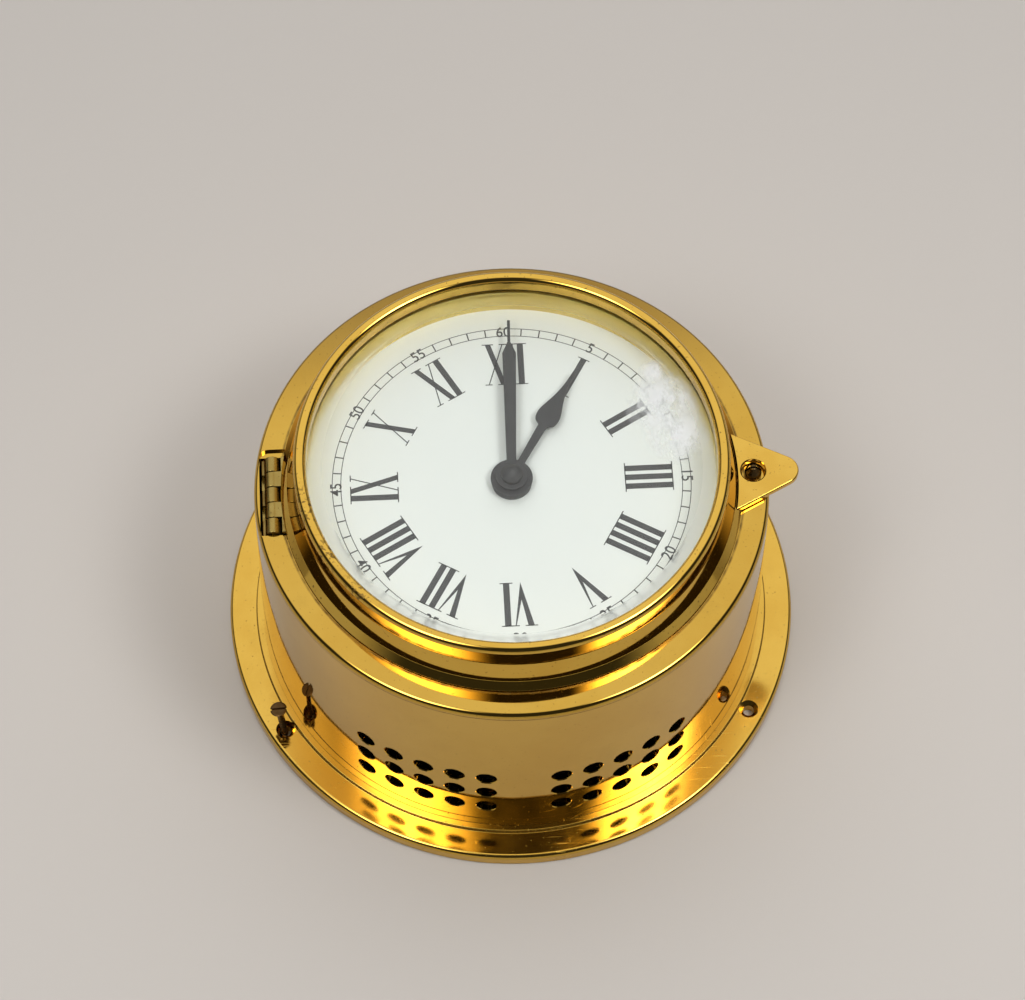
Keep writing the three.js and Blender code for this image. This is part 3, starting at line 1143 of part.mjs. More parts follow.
const hourGroup = new THREE.Group();
hourGroup.rotation.z = -rad(HOUR_ANGLE);
clock.add(hourGroup);
add('hour_hand', hourHand(), blackPaint, hourGroup);
add('hour_wheel', hourWheel(), steel);

const minuteGroup = new THREE.Group();
minuteGroup.rotation.z = -rad(MINUTE_ANGLE);
clock.add(minuteGroup);
add('minute_hand', minuteHand(), blackPaint, minuteGroup);
add('hand_cap', handCap(), blackPaint, minuteGroup);
add('minute_arbor', minuteArbor(), steel);

const movement = new THREE.Group();
clock.add(movement);
add('movement_tray', movementTray(), blackPlastic, movement);
add('movement_lid', movementLid(), blackPlastic, movement);
add('movement_mid_plate', midPlate(), whitePlastic, movement);
add('third_wheel', thirdWheel(), whitePlastic, movement);
add('motor_rotor', rotor(), whitePlastic, movement);
add('motor_stator', stator(), steel, movement);
add('motor_coil', motorCoil(), copper, movement);
add('movement_board', movementBoard(), boardGreen, movement);
add('quartz_crystal', crystalCan(), steel, movement);
add('motion_wheel', motionWheel(), whitePlastic, movement);
add('setting_knob', settingKnob(), blackPlastic, movement);

const striking = new THREE.Group();
clock.add(striking);
add('chassis_plate', chassisPlate(), zincSteel, striking);
pillarPlaces.forEach(({ x, y }, i) => {
  add(`chassis_pillar_${i + 1}`, chassisPillar(), steel, striking).position.set(x, y, 0);
  add(`chassis_screw_${i + 1}`, chassisScrew(), steel, striking).position.set(x, y, 0);
});
add('bell_cup', bellCup(), bellMetal, striking);
add('bell_post', bellPost(), steel, striking);
add('bell_nut', bellNut(), steel, striking);
add('hammer_pivot', hammerPivot(), steel, striking);
add('hammer_arm', hammerArm(), steel, striking);
add('magnet_yoke', magnetYoke(), zincSteel, striking);
add('magnet_coil', magnetCoil(), copper, striking);
add('magnet_core', magnetCore(), steel, striking);
add('battery_holder', batteryHolder(), blackPlastic, striking);
cellPlaces.forEach((y, i) => {
  add(`battery_cell_${i + 1}`, batteryCell(y, i === 0 ? 1 : -1), steel, striking);
});
add('contact_bridge', bridgeContact(), steel, striking);
cellPlaces.forEach((y, i) => {
  add(`contact_end_${i + 1}`, endContact(y), steel, striking);
});
add('strike_board', strikeBoard(), boardGreen, striking);
add('battery_lead', batteryLead(), blackPlastic, striking);
add('movement_lead', movementLead(), blackPlastic, striking);

const [, screwAngle] = FIXING_ANGLES;
const screwPlace = at(FIXING_CIRCLE_R, screwAngle);
const leanAxis = at(1, SCREW_LEAN_DIRECTION + 90);
const screwStand = new THREE.Group();
screwStand.position.set(screwPlace.x, screwPlace.y, SCREW_SUNK);
screwStand.quaternion.setFromAxisAngle(new THREE.Vector3(leanAxis.x, leanAxis.y, 0), rad(SCREW_LEAN));
clock.add(screwStand);
add('mounting_screw', mountingScrew(), rustySteel, screwStand);

export default clock;
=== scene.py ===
import json
import math

import bmesh
import bpy
import numpy as np
from mathutils import Matrix, Vector

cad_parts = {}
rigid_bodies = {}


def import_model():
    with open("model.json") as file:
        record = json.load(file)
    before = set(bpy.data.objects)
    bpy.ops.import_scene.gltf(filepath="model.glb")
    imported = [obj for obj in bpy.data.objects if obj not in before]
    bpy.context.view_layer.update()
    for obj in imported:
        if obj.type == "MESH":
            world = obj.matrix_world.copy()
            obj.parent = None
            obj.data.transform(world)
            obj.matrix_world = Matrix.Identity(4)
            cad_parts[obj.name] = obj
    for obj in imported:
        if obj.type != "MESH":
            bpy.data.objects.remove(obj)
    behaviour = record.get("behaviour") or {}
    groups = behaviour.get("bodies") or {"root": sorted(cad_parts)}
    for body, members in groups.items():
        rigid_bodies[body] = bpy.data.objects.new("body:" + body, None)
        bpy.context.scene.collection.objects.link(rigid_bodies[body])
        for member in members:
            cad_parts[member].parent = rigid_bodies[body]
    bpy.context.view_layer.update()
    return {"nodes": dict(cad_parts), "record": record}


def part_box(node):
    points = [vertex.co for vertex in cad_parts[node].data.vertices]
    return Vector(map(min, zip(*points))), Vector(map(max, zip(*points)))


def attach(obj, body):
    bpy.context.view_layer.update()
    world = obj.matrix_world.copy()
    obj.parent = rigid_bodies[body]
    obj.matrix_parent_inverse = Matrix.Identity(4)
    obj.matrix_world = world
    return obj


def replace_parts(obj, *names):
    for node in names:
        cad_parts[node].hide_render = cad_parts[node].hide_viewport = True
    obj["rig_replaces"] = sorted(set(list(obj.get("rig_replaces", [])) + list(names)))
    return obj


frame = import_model()

# Camera. It stands in front of six o'clock and looks down at the dial, about 61 degrees above the floor.
# Its place was solved on the dial and the rings of the case.
camera_data = bpy.data.cameras.new("clock_camera")
camera_data.sensor_width = 36
camera_data.lens = 139.149
camera_data.clip_start = 0.05
camera_data.clip_end = 20
camera = bpy.data.objects.new("clock_camera", camera_data)
bpy.context.scene.collection.objects.link(camera)
camera_right = Vector((0.99870, -0.05077, 0.00395)).normalized()
camera_up = Vector((0.04255, 0.87454, 0.48308)).normalized()
camera_back = camera_right.cross(camera_up).normalized()
camera_up = camera_back.cross(camera_right)
camera.matrix_world = (
    Matrix.Translation((-0.033667, -0.585070, 1.133323))
    @ Matrix((camera_right, camera_up, camera_back)).transposed().to_4x4()
)
bpy.context.scene.camera = camera


# Studio. A wide pale table top in a room that is bright overhead and behind the clock, and dark in front of
# it, with a pale band along the horizon. Two soft boxes hang over the front corners, a stronger one at the
# right.
def new_tree(name):
    material = bpy.data.materials.new(name)
    material.use_nodes = True
    material.node_tree.nodes.clear()
    return material, material.node_tree


def put(tree, kind, wires=None, **settings):
    made = tree.nodes.new(kind)
    for key, value in settings.items():
        setattr(made, key, value)
    for key, value in (wires or {}).items():
        if isinstance(value, bpy.types.NodeSocket):
            tree.links.new(value, made.inputs[key])
        else:
            made.inputs[key].default_value = value
    return made


def noise(tree, pitch, stretch=(1, 1, 1), detail=3.0, roughness=0.5, shift=0.0):
    """A noise pattern over the object. pitch is the size of its blotches in millimetres."""
    place = put(tree, "ShaderNodeTexCoord").outputs["Object"]
    scale = [1000 / pitch * share for share in stretch]
    wires = {"Vector": place, "Scale": scale, "Location": (shift, shift, 0)}
    mapped = put(tree, "ShaderNodeMapping", wires).outputs[0]
    wires = {"Vector": mapped, "Scale": 1.0, "Detail": detail, "Roughness": roughness}
    return put(tree, "ShaderNodeTexNoise", wires).outputs[0]


def spread(tree, value, from_low, from_high, low=0.0, high=1.0, kind="SMOOTHSTEP"):
    wires = {"Value": value, "From Min": from_low, "From Max": from_high, "To Min": low, "To Max": high}
    return put(tree, "ShaderNodeMapRange", wires, interpolation_type=kind, clamp=True).outputs[0]


def calc(tree, operation, first, second=0.5):
    return put(tree, "ShaderNodeMath", {0: first, 1: second}, operation=operation).outputs[0]


def mixed(tree, factor, first, second):
    wires = {0: factor, 6: first, 7: second}
    return put(tree, "ShaderNodeMix", wires, data_type="RGBA").outputs[2]


def flat_length(tree, vector):
    """The length of a vector's x and y parts."""
    flat = put(tree, "ShaderNodeVectorMath", {0: vector, 1: (1, 1, 0)}, operation="MULTIPLY").outputs[0]
    return put(tree, "ShaderNodeVectorMath", {0: flat}, operation="LENGTH").outputs["Value"]


def distance_to(tree, vector, where):
    wires = {0: vector, 1: where}
    return put(tree, "ShaderNodeVectorMath", wires, operation="DISTANCE").outputs["Value"]


def relief(tree, strength, depth, height, under=None):
    """A normal with the height pattern pressed into it, on top of another one. depth is in metres."""
    wires = {"Strength": strength, "Distance": depth, "Height": height}
    if under is not None:
        wires["Normal"] = under
    return put(tree, "ShaderNodeBump", wires).outputs[0]


def finished(tree, shader):
    put(tree, "ShaderNodeOutputMaterial", {"Surface": shader})


def coated(tree, colour, rough, normal=None, metallic=0.0, specular=0.5):
    """Finishes a material with one opaque shader."""
    wires = {"Base Color": colour, "Roughness": rough, "Metallic": metallic, "Specular IOR Level": specular}
    if normal is not None:
        wires["Normal"] = normal
    finished(tree, put(tree, "ShaderNodeBsdfPrincipled", wires).outputs[0])


TABLE_HALF, TABLE_Z = 9, -0.0002
table_paint, tree = new_tree("table_paint")
table_colour = mixed(tree, noise(tree, 380, detail=2), (0.535, 0.506, 0.480, 1), (0.555, 0.526, 0.500, 1))
grain = noise(tree, 3.0, detail=4)
coated(tree, table_colour, 0.75, relief(tree, 0.1, 0.0002, grain), specular=0.25)
table_mesh = bpy.data.meshes.new("table_top")
corner_signs = [(-1, -1), (1, -1), (1, 1), (-1, 1)]
table_corners = [(TABLE_HALF * x, TABLE_HALF * y, TABLE_Z) for x, y in corner_signs]
table_mesh.from_pydata(table_corners, [], [(0, 1, 2, 3)])
table_mesh.materials.append(table_paint)
table_top = bpy.data.objects.new("table_top", table_mesh)
bpy.context.scene.collection.objects.link(table_top)

room = bpy.data.worlds.new("studio_room")
room.use_nodes = True
tree = room.node_tree
tree.nodes.clear()
direction = put(tree, "ShaderNodeTexCoord").outputs["Generated"]
height = put(tree, "ShaderNodeSeparateXYZ", {0: direction}).outputs["Z"]
WINDOW_DIRECTION = (0, 0.6, 0.8)
towards = put(tree, "ShaderNodeVectorMath", {0: direction, 1: WINDOW_DIRECTION}, operation="DOT_PRODUCT")
window = spread(tree, towards.outputs["Value"], 0.56, 0.80, 0.04, 1.12)
horizon = spread(tree, height, 0.12, 0.21, 0.5, 0.0)
light = calc(tree, "MAXIMUM", window, horizon)
background = put(tree, "ShaderNodeBackground", {"Color": (1.0, 0.985, 0.965, 1), "Strength": light})
put(tree, "ShaderNodeOutputWorld", {"Surface": background.outputs[0]})
bpy.context.scene.world = room


def soft_lamp(name, place, size, power):
    """A round soft box that is brightest in its middle and fades smoothly to nothing at its edge."""
    data = bpy.data.lights.new(name, "AREA")
    data.shape = "DISK"
    data.size = size
    data.energy = power
    data.color = (1.0, 0.985, 0.96)
    data.use_nodes = True
    tree = data.node_tree
    tree.nodes.clear()
    on_disc = put(tree, "ShaderNodeNewGeometry").outputs["Parametric"]
    off_middle = put(tree, "ShaderNodeVectorMath", {0: on_disc, 1: (0.5, 0.5, 0)}, operation="SUBTRACT")
    reach = flat_length(tree, off_middle.outputs[0])
    fallen = calc(tree, "MULTIPLY", calc(tree, "POWER", reach, 2.0), 4.0)
    share = calc(tree, "MAXIMUM", calc(tree, "SUBTRACT", 1.0, fallen), 0.0)
    strength = calc(tree, "MULTIPLY", calc(tree, "POWER", share, 3.0), 4.0)
    glow = put(tree, "ShaderNodeEmission", {"Strength": strength})
    put(tree, "ShaderNodeOutputLight", {"Surface": glow.outputs[0]})
    lamp = bpy.data.objects.new(name, data)
    lamp.location = place
    lamp.rotation_mode = "QUATERNION"
    lamp.rotation_quaternion = (-Vector(place)).to_track_quat("-Z", "Y")
    bpy.context.scene.collection.objects.link(lamp)


soft_lamp("left_soft_box", (-0.482, -0.406, 1.1375), 0.90, 5.0)
soft_lamp("right_soft_box", (0.556, -0.296, 1.1375), 0.76, 6.2)
bpy.context.scene.view_settings.view_transform = "Standard"


# Heights, radii and angles that several pieces share, in millimetres and degrees.
STEP_TOP, DRUM_TOP, RIM_TOP = 5.7, 78.6, 80.9
DIAL_LOW, DIAL_TOP = 80.3, 81.3
BEZEL_FOOT, GLASS_LOW, GLASS_TOP, BEZEL_TOP = 81.2, 90.4, 93.5, 98.7
DRUM_BORE_R, DRUM_R, DRUM_FOOT_R = 77.4, 78.4, 79.3
FIXING_CIRCLE_R, COVER_SCREW_CIRCLE_R, STUD_X = 84.5, 66.9, 73.5
FIXING_ANGLES, COVER_SCREW_ANGLES = (90, 210, 330), (30, 150, 270)


# Mounting flange. A turned brass plate that the clock stands on, with a rounded rim, a low step that
# carries the drum, and three countersunk fixing holes. Polished and lacquered, with stains and specks.
def unit(vector):
    return vector / np.linalg.norm(vector)


def outline_runs(outline):
    """The runs of a closed outline of corners (radius, height) or (radius, height, rounding) in mm:
    start, end, and the outward normal at each."""
    corners = [(np.array(corner[:2], float), corner[2] if len(corner) > 2 else 0.0) for corner in outline]
    places = [place for place, _ in corners]
    area = sum(a[0] * b[1] - b[0] * a[1] for a, b in zip(places, places[1:] + places[:1]))
    if area < 0:
        corners.reverse()
    points = []
    for i, (corner, rounding) in enumerate(corners):
        into = unit(corner - corners[i - 1][0])
        out = unit(corners[(i + 1) % len(corners)][0] - corner)
        first = np.array((into[1], -into[0]))
        last = np.array((out[1], -out[0]))
        if rounding == 0:
            points.append((corner, first, last))
            continue
        turn = math.atan2(into[0] * out[1] - into[1] * out[0], into @ out)
        side = math.copysign(1, turn)
        start = corner - into * rounding * math.tan(abs(turn) / 2)
        centre = start - side * first * rounding
        steps = max(2, math.ceil(abs(turn) / math.radians(11)))
        for step in range(steps + 1):
            angle = turn * step / steps
            normal = np.array((
                first[0] * math.cos(angle) - first[1] * math.sin(angle),
                first[0] * math.sin(angle) + first[1] * math.cos(angle),
            ))
            points.append((centre + side * normal * rounding, normal, normal))
    pairs = zip(points, points[1:] + points[:1])
    return [(a[0], b[0], a[2], b[1]) for a, b in pairs if np.linalg.norm(a[0] - b[0]) > 1e-6]


def turned_mesh(name, outline, steps=240):
    """A body of revolution round the vertical axis, in metres."""
    runs = outline_runs(outline)
    angles = [2 * math.pi * i / steps for i in range(steps)]
    verts = []
    rings = []
    for start, *_ in runs:
        radius, height = start
        if radius < 1e-6:
            rings.append([len(verts)] * steps)
            verts.append((0, 0, height / 1000))
            continue
        rings.append(list(range(len(verts), len(verts) + steps)))
        verts += [(radius * math.cos(a) / 1000, radius * math.sin(a) / 1000, height / 1000) for a in angles]
    faces = []
    for k in range(len(runs)):
        low, high = rings[k], rings[(k + 1) % len(runs)]
        for i in range(steps):
            j = (i + 1) % steps
            corners = []
            for corner in (low[i], low[j], high[j], high[i]):
                if corner not in corners:
                    corners.append(corner)
            if len(corners) > 2:
                faces.append(corners)
    mesh = bpy.data.meshes.new(name)
    mesh.from_pydata(verts, [], faces)
    return mesh


def shade_turned(mesh, outline, crease=28):
    """Gives each corner on the turned surface its outline's normal, and the rest a plain smooth one."""
    mesh.shade_smooth()
    mesh.set_sharp_from_angle(angle=math.radians(crease))
    count = len(mesh.loops)
    normals = np.empty(count * 3, np.float32)
    mesh.corner_normals.foreach_get("vector", normals)
    normals = normals.reshape(-1, 3)
    owners = np.empty(count, np.int32)
    mesh.loops.foreach_get("vertex_index", owners)
    places = np.empty(len(mesh.vertices) * 3, np.float32)
    mesh.vertices.foreach_get("co", places)
    places = places.reshape(-1, 3)[owners] * 1000
    face_normals = np.empty(len(mesh.polygons) * 3, np.float32)
    mesh.polygons.foreach_get("normal", face_normals)
    sizes = np.empty(len(mesh.polygons), np.int32)
    mesh.polygons.foreach_get("loop_total", sizes)
    face_normals = np.repeat(face_normals.reshape(-1, 3), sizes, axis=0)
    radius = np.hypot(places[:, 0], places[:, 1])
    outward = places[:, :2] / np.maximum(radius, 1e-6)[:, None]
    best = np.full(count, 1e9)
    for start, end, first, last in outline_runs(outline):
        along = end - start
        offset = np.stack((radius, places[:, 2]), 1) - start
        share = np.clip(offset @ along / (along @ along), 0, 1)
        away = np.linalg.norm(offset - share[:, None] * along, axis=1)
        flat = first + share[:, None] * (last - first)
        flat /= np.linalg.norm(flat, axis=1)[:, None]
        turned = np.column_stack((outward * flat[:, :1], flat[:, 1]))
        apart = 1 - np.sum(turned * face_normals, axis=1)
        score = away + apart
        fits = (away < 0.03) & (apart < 0.05) & (score < best)
        best[fits] = score[fits]
        normals[fits] = turned[fits]
    mesh.normals_split_custom_set([tuple(normal) for normal in normals])


def link(name, mesh):
    made = bpy.data.objects.new(name, mesh)
    bpy.context.scene.collection.objects.link(made)
    return made


def settle(piece):
    """Puts the result of the piece's modifiers into its mesh."""
    mesh = bpy.data.meshes.new_from_object(piece.evaluated_get(bpy.context.evaluated_depsgraph_get()))
    piece.modifiers.clear()
    piece.data = mesh


def carve(piece, cutters, operation="DIFFERENCE"):
    """Cuts the cutter meshes out of the piece, or joins them to it, and drops them."""
    tool_mesh = bmesh.new()
    for cutter, place in cutters:
        cutter.transform(place)
        tool_mesh.from_mesh(cutter)
        bpy.data.meshes.remove(cutter)
    joined = bpy.data.meshes.new("cutter")
    tool_mesh.to_mesh(joined)
    tool_mesh.free()
    tool = link("cutter", joined)
    modifier = piece.modifiers.new("carve", "BOOLEAN")
    modifier.operation = operation
    modifier.solver = "EXACT"
    modifier.object = tool
    settle(piece)
    bpy.data.objects.remove(tool)
    bpy.data.meshes.remove(joined)


def dress(piece, material, body, slot, *nodes):
    """Paints the piece, and sets its body and the solids it stands for. slot, the finish's name, is not
    used.
    """
    piece.data.materials.clear()
    piece.data.materials.append(material)
    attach(piece, body)
    if nodes:
        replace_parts(piece, *nodes)
    return piece


def brass(name, tint, shine, blotch, waves, stain, specks, scratches, seams=(), pits=(), far_painted_shade=0.0):
    """Brass with blotchy lacquer, fine scratches, specks of tarnish, dark seams and spots of pitting.
    seams is a list of (kind, place, width): a height 'z' or a radius 'r', in mm. pits is a list of
    (place in metres, reach in metres). far_painted_shade is how much painted shade darkens it towards
    twelve o'clock."""
    material, tree = new_tree(name)
    place = put(tree, "ShaderNodeTexCoord").outputs["Object"]
    part = put(tree, "ShaderNodeSeparateXYZ", {0: place})
    deep = tuple(c * s for c, s in zip(tint, (0.86, 0.78, 0.60))) + (1,)
    blotches = spread(tree, noise(tree, blotch, detail=4, roughness=0.6), 0.35, 0.68)
    colour = mixed(tree, calc(tree, "MULTIPLY", blotches, 0.45), (*tint, 1), deep)
    # Painted shade: the colour is mixed towards dark brown on the side towards twelve o'clock, as far as
    # far_painted_shade asks.
    far_shade = spread(tree, part.outputs["Y"], 0.02, 0.075, 0.0, far_painted_shade)
    colour = mixed(tree, far_shade, colour, (0.24, 0.145, 0.037, 1))
    dirt = calc(tree, "MULTIPLY", spread(tree, noise(tree, 0.9, detail=2, shift=5), 0.66, 0.74), specks)
    clouds = spread(tree, noise(tree, 16, detail=5, roughness=0.65, shift=2), 0.56, 0.76)
    dirt = calc(tree, "MAXIMUM", dirt, calc(tree, "MULTIPLY", clouds, stain))
    for where, reach in pits:
        near = spread(tree, distance_to(tree, place, where), 0.0, reach, 0.9, 0.0)
        spots = spread(tree, noise(tree, 1.3, detail=2, shift=8), 0.55, 0.62)
        dirt = calc(tree, "MAXIMUM", dirt, calc(tree, "MULTIPLY", spots, near))
    ragged = noise(tree, 3.2, detail=3, shift=3)
    for kind, where, width in seams:
        measured = flat_length(tree, place) if kind == "r" else part.outputs["Z"]
        apart = calc(tree, "ABSOLUTE", calc(tree, "SUBTRACT", measured, where / 1000))
        near = spread(tree, apart, 0.0, width / 1000, 1.0, 0.0)
        seam = calc(tree, "MULTIPLY", near, spread(tree, ragged, 0.25, 0.75, 0.35, 0.95))
        dirt = calc(tree, "MAXIMUM", dirt, seam)
    colour = mixed(tree, dirt, colour, (0.105, 0.060, 0.022, 1))
    fine = noise(tree, 1.6, (0.12, 1, 1), detail=4, roughness=0.7, shift=1)
    lines = spread(tree, noise(tree, 0.8, (0.03, 1, 0.6), detail=2, shift=7), 0.62, 0.70)
    lines = calc(tree, "MULTIPLY", lines, spread(tree, noise(tree, 22, shift=9), 0.52, 0.66))
    rough = spread(tree, blotches, 0.0, 1.0, shine, shine * 1.9, "LINEAR")
    rough = calc(tree, "ADD", rough, calc(tree, "MULTIPLY", dirt, 0.35))
    rough = calc(tree, "ADD", rough, calc(tree, "MULTIPLY", lines, 0.18 * scratches))
    wave = relief(tree, 1.0, waves, noise(tree, 14, detail=1, shift=4))
    scuff = calc(tree, "ADD", calc(tree, "MULTIPLY", lines, scratches), calc(tree, "MULTIPLY", fine, 0.15))
    coated(tree, colour, rough, relief(tree, 0.35, 0.000006, scuff, wave), metallic=1.0)
    return material


def round_hole(rings, place):
    """A cutter for a round hole, from corners (radius, height) in mm from the bottom up, set at place."""
    outline = [(0, rings[0][1]), *rings, (0, rings[-1][1])]
    return turned_mesh("hole", outline, 48), place


def upright(x, y):
    return Matrix.Translation((x / 1000, y / 1000, 0))


def around(radius, degrees):
    """A place (x, y) at this radius, by its angle from three o'clock towards twelve."""
    return radius * math.cos(math.radians(degrees)), radius * math.sin(math.radians(degrees))


golden = (0.68, 0.43, 0.078)
flange_outline = [
    (70.3, 0), (90, 0, 0.3), (90, 4.5, 1.5), (81.4, 4.5, 0.35), (81.4, STEP_TOP, 0.4),
    (64, STEP_TOP), (64, 1.6), (70.3, 1.6),
]
mounting_flange = link("mounting_flange_brass", turned_mesh("mounting_flange", flange_outline))
flange_cuts = []
for angle in FIXING_ANGLES:
    countersunk = [(1.75, -1), (1.75, 3.2), (3.05, 4.5), (3.55, 5)]
    flange_cuts.append(round_hole(countersunk, upright(*around(FIXING_CIRCLE_R, angle))))
for angle in COVER_SCREW_ANGLES:
    flange_cuts.append(round_hole([(1.6, -1), (1.6, 4.2)], upright(*around(COVER_SCREW_CIRCLE_R, angle))))
carve(mounting_flange, flange_cuts)
shade_turned(mounting_flange.data, flange_outline)
flange_brass = brass("flange_brass", golden, shine=0.09, blotch=24, waves=0.00003, stain=0.10, specks=0.55,
                     scratches=1.0)
dress(mounting_flange, flange_brass, "case", "polished_brass", "mounting_flange")


# Drum. Spun brass tube of 1 mm, slightly wider at its foot, with two groups of fifteen round vents that
# let the bell be heard. The vents have a small broken edge. Polished, with fine scratches.
VENT_R, VENT_EDGE = 3.2, 0.35
FIRST_COLUMN_ANGLE, COLUMN_PITCH = 8.4, 7.2
LOW_ROW_Z, ROW_PITCH = 18.8, 9.6
drum_outline = [
    (DRUM_BORE_R, STEP_TOP), (DRUM_FOOT_R, STEP_TOP, 0.15), (DRUM_R, DRUM_TOP), (DRUM_BORE_R, DRUM_TOP),
]
drum_shell = link("drum_shell_brass", turned_mesh("drum_shell", drum_outline))
vents = []
for side in (-1, 1):
    for column in range(5):
        for row in range(3):
            angle = math.radians(side * (FIRST_COLUMN_ANGLE + COLUMN_PITCH * column))
            height = LOW_ROW_Z + ROW_PITCH * row
            share = (height - STEP_TOP) / (DRUM_TOP - STEP_TOP)
            wall = DRUM_FOOT_R - (DRUM_FOOT_R - DRUM_R) * share - DRUM_BORE_R
            wide = VENT_R + VENT_EDGE
            cutter = [(VENT_R, -3), (VENT_R, wall - 0.22), (wide, wall + 0.13), (wide, 3.5)]
            place = (
                Matrix.Rotation(angle, 4, "Z")
                @ Matrix.Translation((0, -DRUM_BORE_R / 1000, height / 1000))
                @ Matrix.Rotation(math.pi / 2, 4, "X")
            )
            vents.append(round_hole(cutter, place))
carve(drum_shell, vents)
shade_turned(drum_shell.data, drum_outline)
drum_brass = brass("drum_brass", golden, shine=0.03, blotch=34, waves=0.00005, stain=0.06, specks=0.25,
                   scratches=0.9, seams=[("z", STEP_TOP, 0.6), ("z", DRUM_TOP, 0.4)])
dress(drum_shell, drum_brass, "case", "polished_brass", "drum_shell")


# Front rim. Turned brass ring on top of the drum with a rounded edge, a recess for the dial, and a milled
# slot with a shallow ledge at its ends, in which the hinge sits at nine o'clock.
rim_outline = [
    (58, DRUM_TOP), (74.5, DRUM_TOP), (74.5, 76.6), (77.1, 76.6), (77.1, DRUM_TOP),
    (DRUM_R, DRUM_TOP, 0.15), (DRUM_R, RIM_TOP, 1.8), (63.3, RIM_TOP), (63.3, DIAL_LOW), (58, DIAL_LOW),
]
front_rim = link("front_rim_brass", turned_mesh("front_rim", rim_outline))


def plate_mesh(name, corners, low, high, edge=0.0, segments=3):
    """A flat plate with rounded edges, from corners (x, y) in mm."""
    shape = bmesh.new()
    ring = [shape.verts.new((x / 1000, y / 1000, low / 1000)) for x, y in corners]
    base = shape.faces.new(ring)
    grown = bmesh.ops.extrude_face_region(shape, geom=[base])
    for vert in (v for v in grown["geom"] if isinstance(v, bmesh.types.BMVert)):
        vert.co.z = high / 1000
    bmesh.ops.recalc_face_normals(shape, faces=shape.faces)
    if edge:
        flat_edges = [e for e in shape.edges if abs(e.verts[0].co.z - e.verts[1].co.z) < 1e-9]
        bmesh.ops.bevel(
            shape, geom=flat_edges, offset=edge / 1000, segments=segments, profile=0.5, affect="EDGES",
            clamp_overlap=True,
        )
    mesh = bpy.data.meshes.new(name)
    shape.to_mesh(mesh)
    shape.free()
    return mesh


def rectangle(x_low, x_high, y_low, y_high):
    return [(x_low, y_low), (x_high, y_low), (x_high, y_high), (x_low, y_high)]


def round_corner(x, y, radius, start, end, steps=8):
    angles = [math.radians(start + (end - start) * i / steps) for i in range(steps + 1)]
    return [(x + radius * math.cos(a), y + radius * math.sin(a)) for a in angles]


ledge_corners = [
    *round_corner(-69.1, 12.75, 3, 0, 90), *round_corner(-73.6, 12.75, 3, 90, 180),
    *round_corner(-73.6, -12.75, 3, 180, 270), *round_corner(-69.1, -12.75, 3, 270, 360),
]
carve(front_rim, [(plate_mesh("ledge", ledge_corners, 79.7, 82), Matrix())])
carve(front_rim, [(plate_mesh("slot", rectangle(-76.6, -66.1, -13.45, 13.45), 75, 82), Matrix())])
shade_turned(front_rim.data, rim_outline)
# Painted shade: the rim's colour darkens towards twelve o'clock.
rim_brass = brass("rim_brass", (0.59, 0.37, 0.066), shine=0.03, blotch=26, waves=0.00002, stain=0.10,
                  specks=0.35, scratches=0.4, seams=[("r", 70.7, 0.7)], far_painted_shade=0.85)
dress(front_rim, rim_brass, "case", "polished_brass", "front_rim")


# Dial. White enamelled disc with a satin gloss, printed in dark grey: radial Roman figures, a minute track
# between two fine circles, and the minutes in small figures at every fifth.
dial_outline = [(4.3, DIAL_LOW), (63, DIAL_LOW), (63, DIAL_TOP, 0.2), (4.3, DIAL_TOP)]
dial_plate = link("dial_plate_white", turned_mesh("dial_plate", dial_outline))
shade_turned(dial_plate.data, dial_outline)
dial_enamel, tree = new_tree("dial_enamel")
enamel = mixed(tree, noise(tree, 42, detail=3), (0.800, 0.825, 0.815, 1), (0.835, 0.855, 0.840, 1))
enamel_rough = spread(tree, noise(tree, 12, detail=3, shift=1), 0.3, 0.7, 0.34, 0.42)
orange_peel = relief(tree, 0.2, 0.00001, noise(tree, 0.9))
coated(tree, enamel, enamel_rough, orange_peel, specular=0.4)
dress(dial_plate, dial_enamel, "case", "dial_white", "dial_plate")

print_verts = []
print_faces = []
PRINT_TOP = DIAL_TOP + 0.03


def ink(corners, angle, faces=None):
    """Prints a flat shape of corners (across, outwards) in mm, turned clockwise from twelve by angle. It is
    one face, unless faces lists several by their corners' numbers."""
    turn = math.radians(-angle)
    start = len(print_verts)
    for across, away in corners:
        x = across * math.cos(turn) - away * math.sin(turn)
        y = across * math.sin(turn) + away * math.cos(turn)
        print_verts.append((x / 1000, y / 1000, PRINT_TOP / 1000))
    for face in faces or [range(len(corners))]:
        print_faces.append([start + corner for corner in face])


def stroke(x_low, x_high, width, low, high):
    """A stroke from (x_low, low) to (x_high, high), as wide as width measured across."""
    half = width / 2
    return [(x_low - half, low), (x_low + half, low), (x_high + half, high), (x_high - half, high)]


NUMERAL_LOW, NUMERAL_HIGH = 34.4, 49.1
BROAD, HAIRLINE, SERIF_H = 1.9, 0.36, 0.32


def serif(x, width, edge, inward):
    """A thin bar across a stroke's end."""
    return stroke(x, x, width, edge, edge + inward * SERIF_H)


def letter(kind, x):
    low, high = NUMERAL_LOW, NUMERAL_HIGH
    if kind == "I":
        return [stroke(x, x, BROAD, low, high), serif(x, 3.85, low, 1), serif(x, 3.85, high, -1)]
    if kind == "V":
        apex = (x + 0.4, low - 0.1)
        return [
            [apex, (x + 0.3, low + 5.6), (x - 1.42, high), (x - 3.28, high)],
            [apex, (x + 2.5, high), (x + 2.2, high), (x + 0.1, low + 5.0)],
            serif(x - 2.35, 3.75, high, -1), serif(x + 2.35, 2.2, high, -1),
        ]
    return [
        stroke(x + 2.2, x - 2.3, 1.68, low, high), stroke(x - 2.4, x + 2.3, HAIRLINE, low, high),
        serif(x - 2.3, 3.5, high, -1), serif(x + 2.3, 2.2, high, -1),
        serif(x + 2.2, 3.5, low, 1), serif(x - 2.4, 2.2, low, 1),
    ]


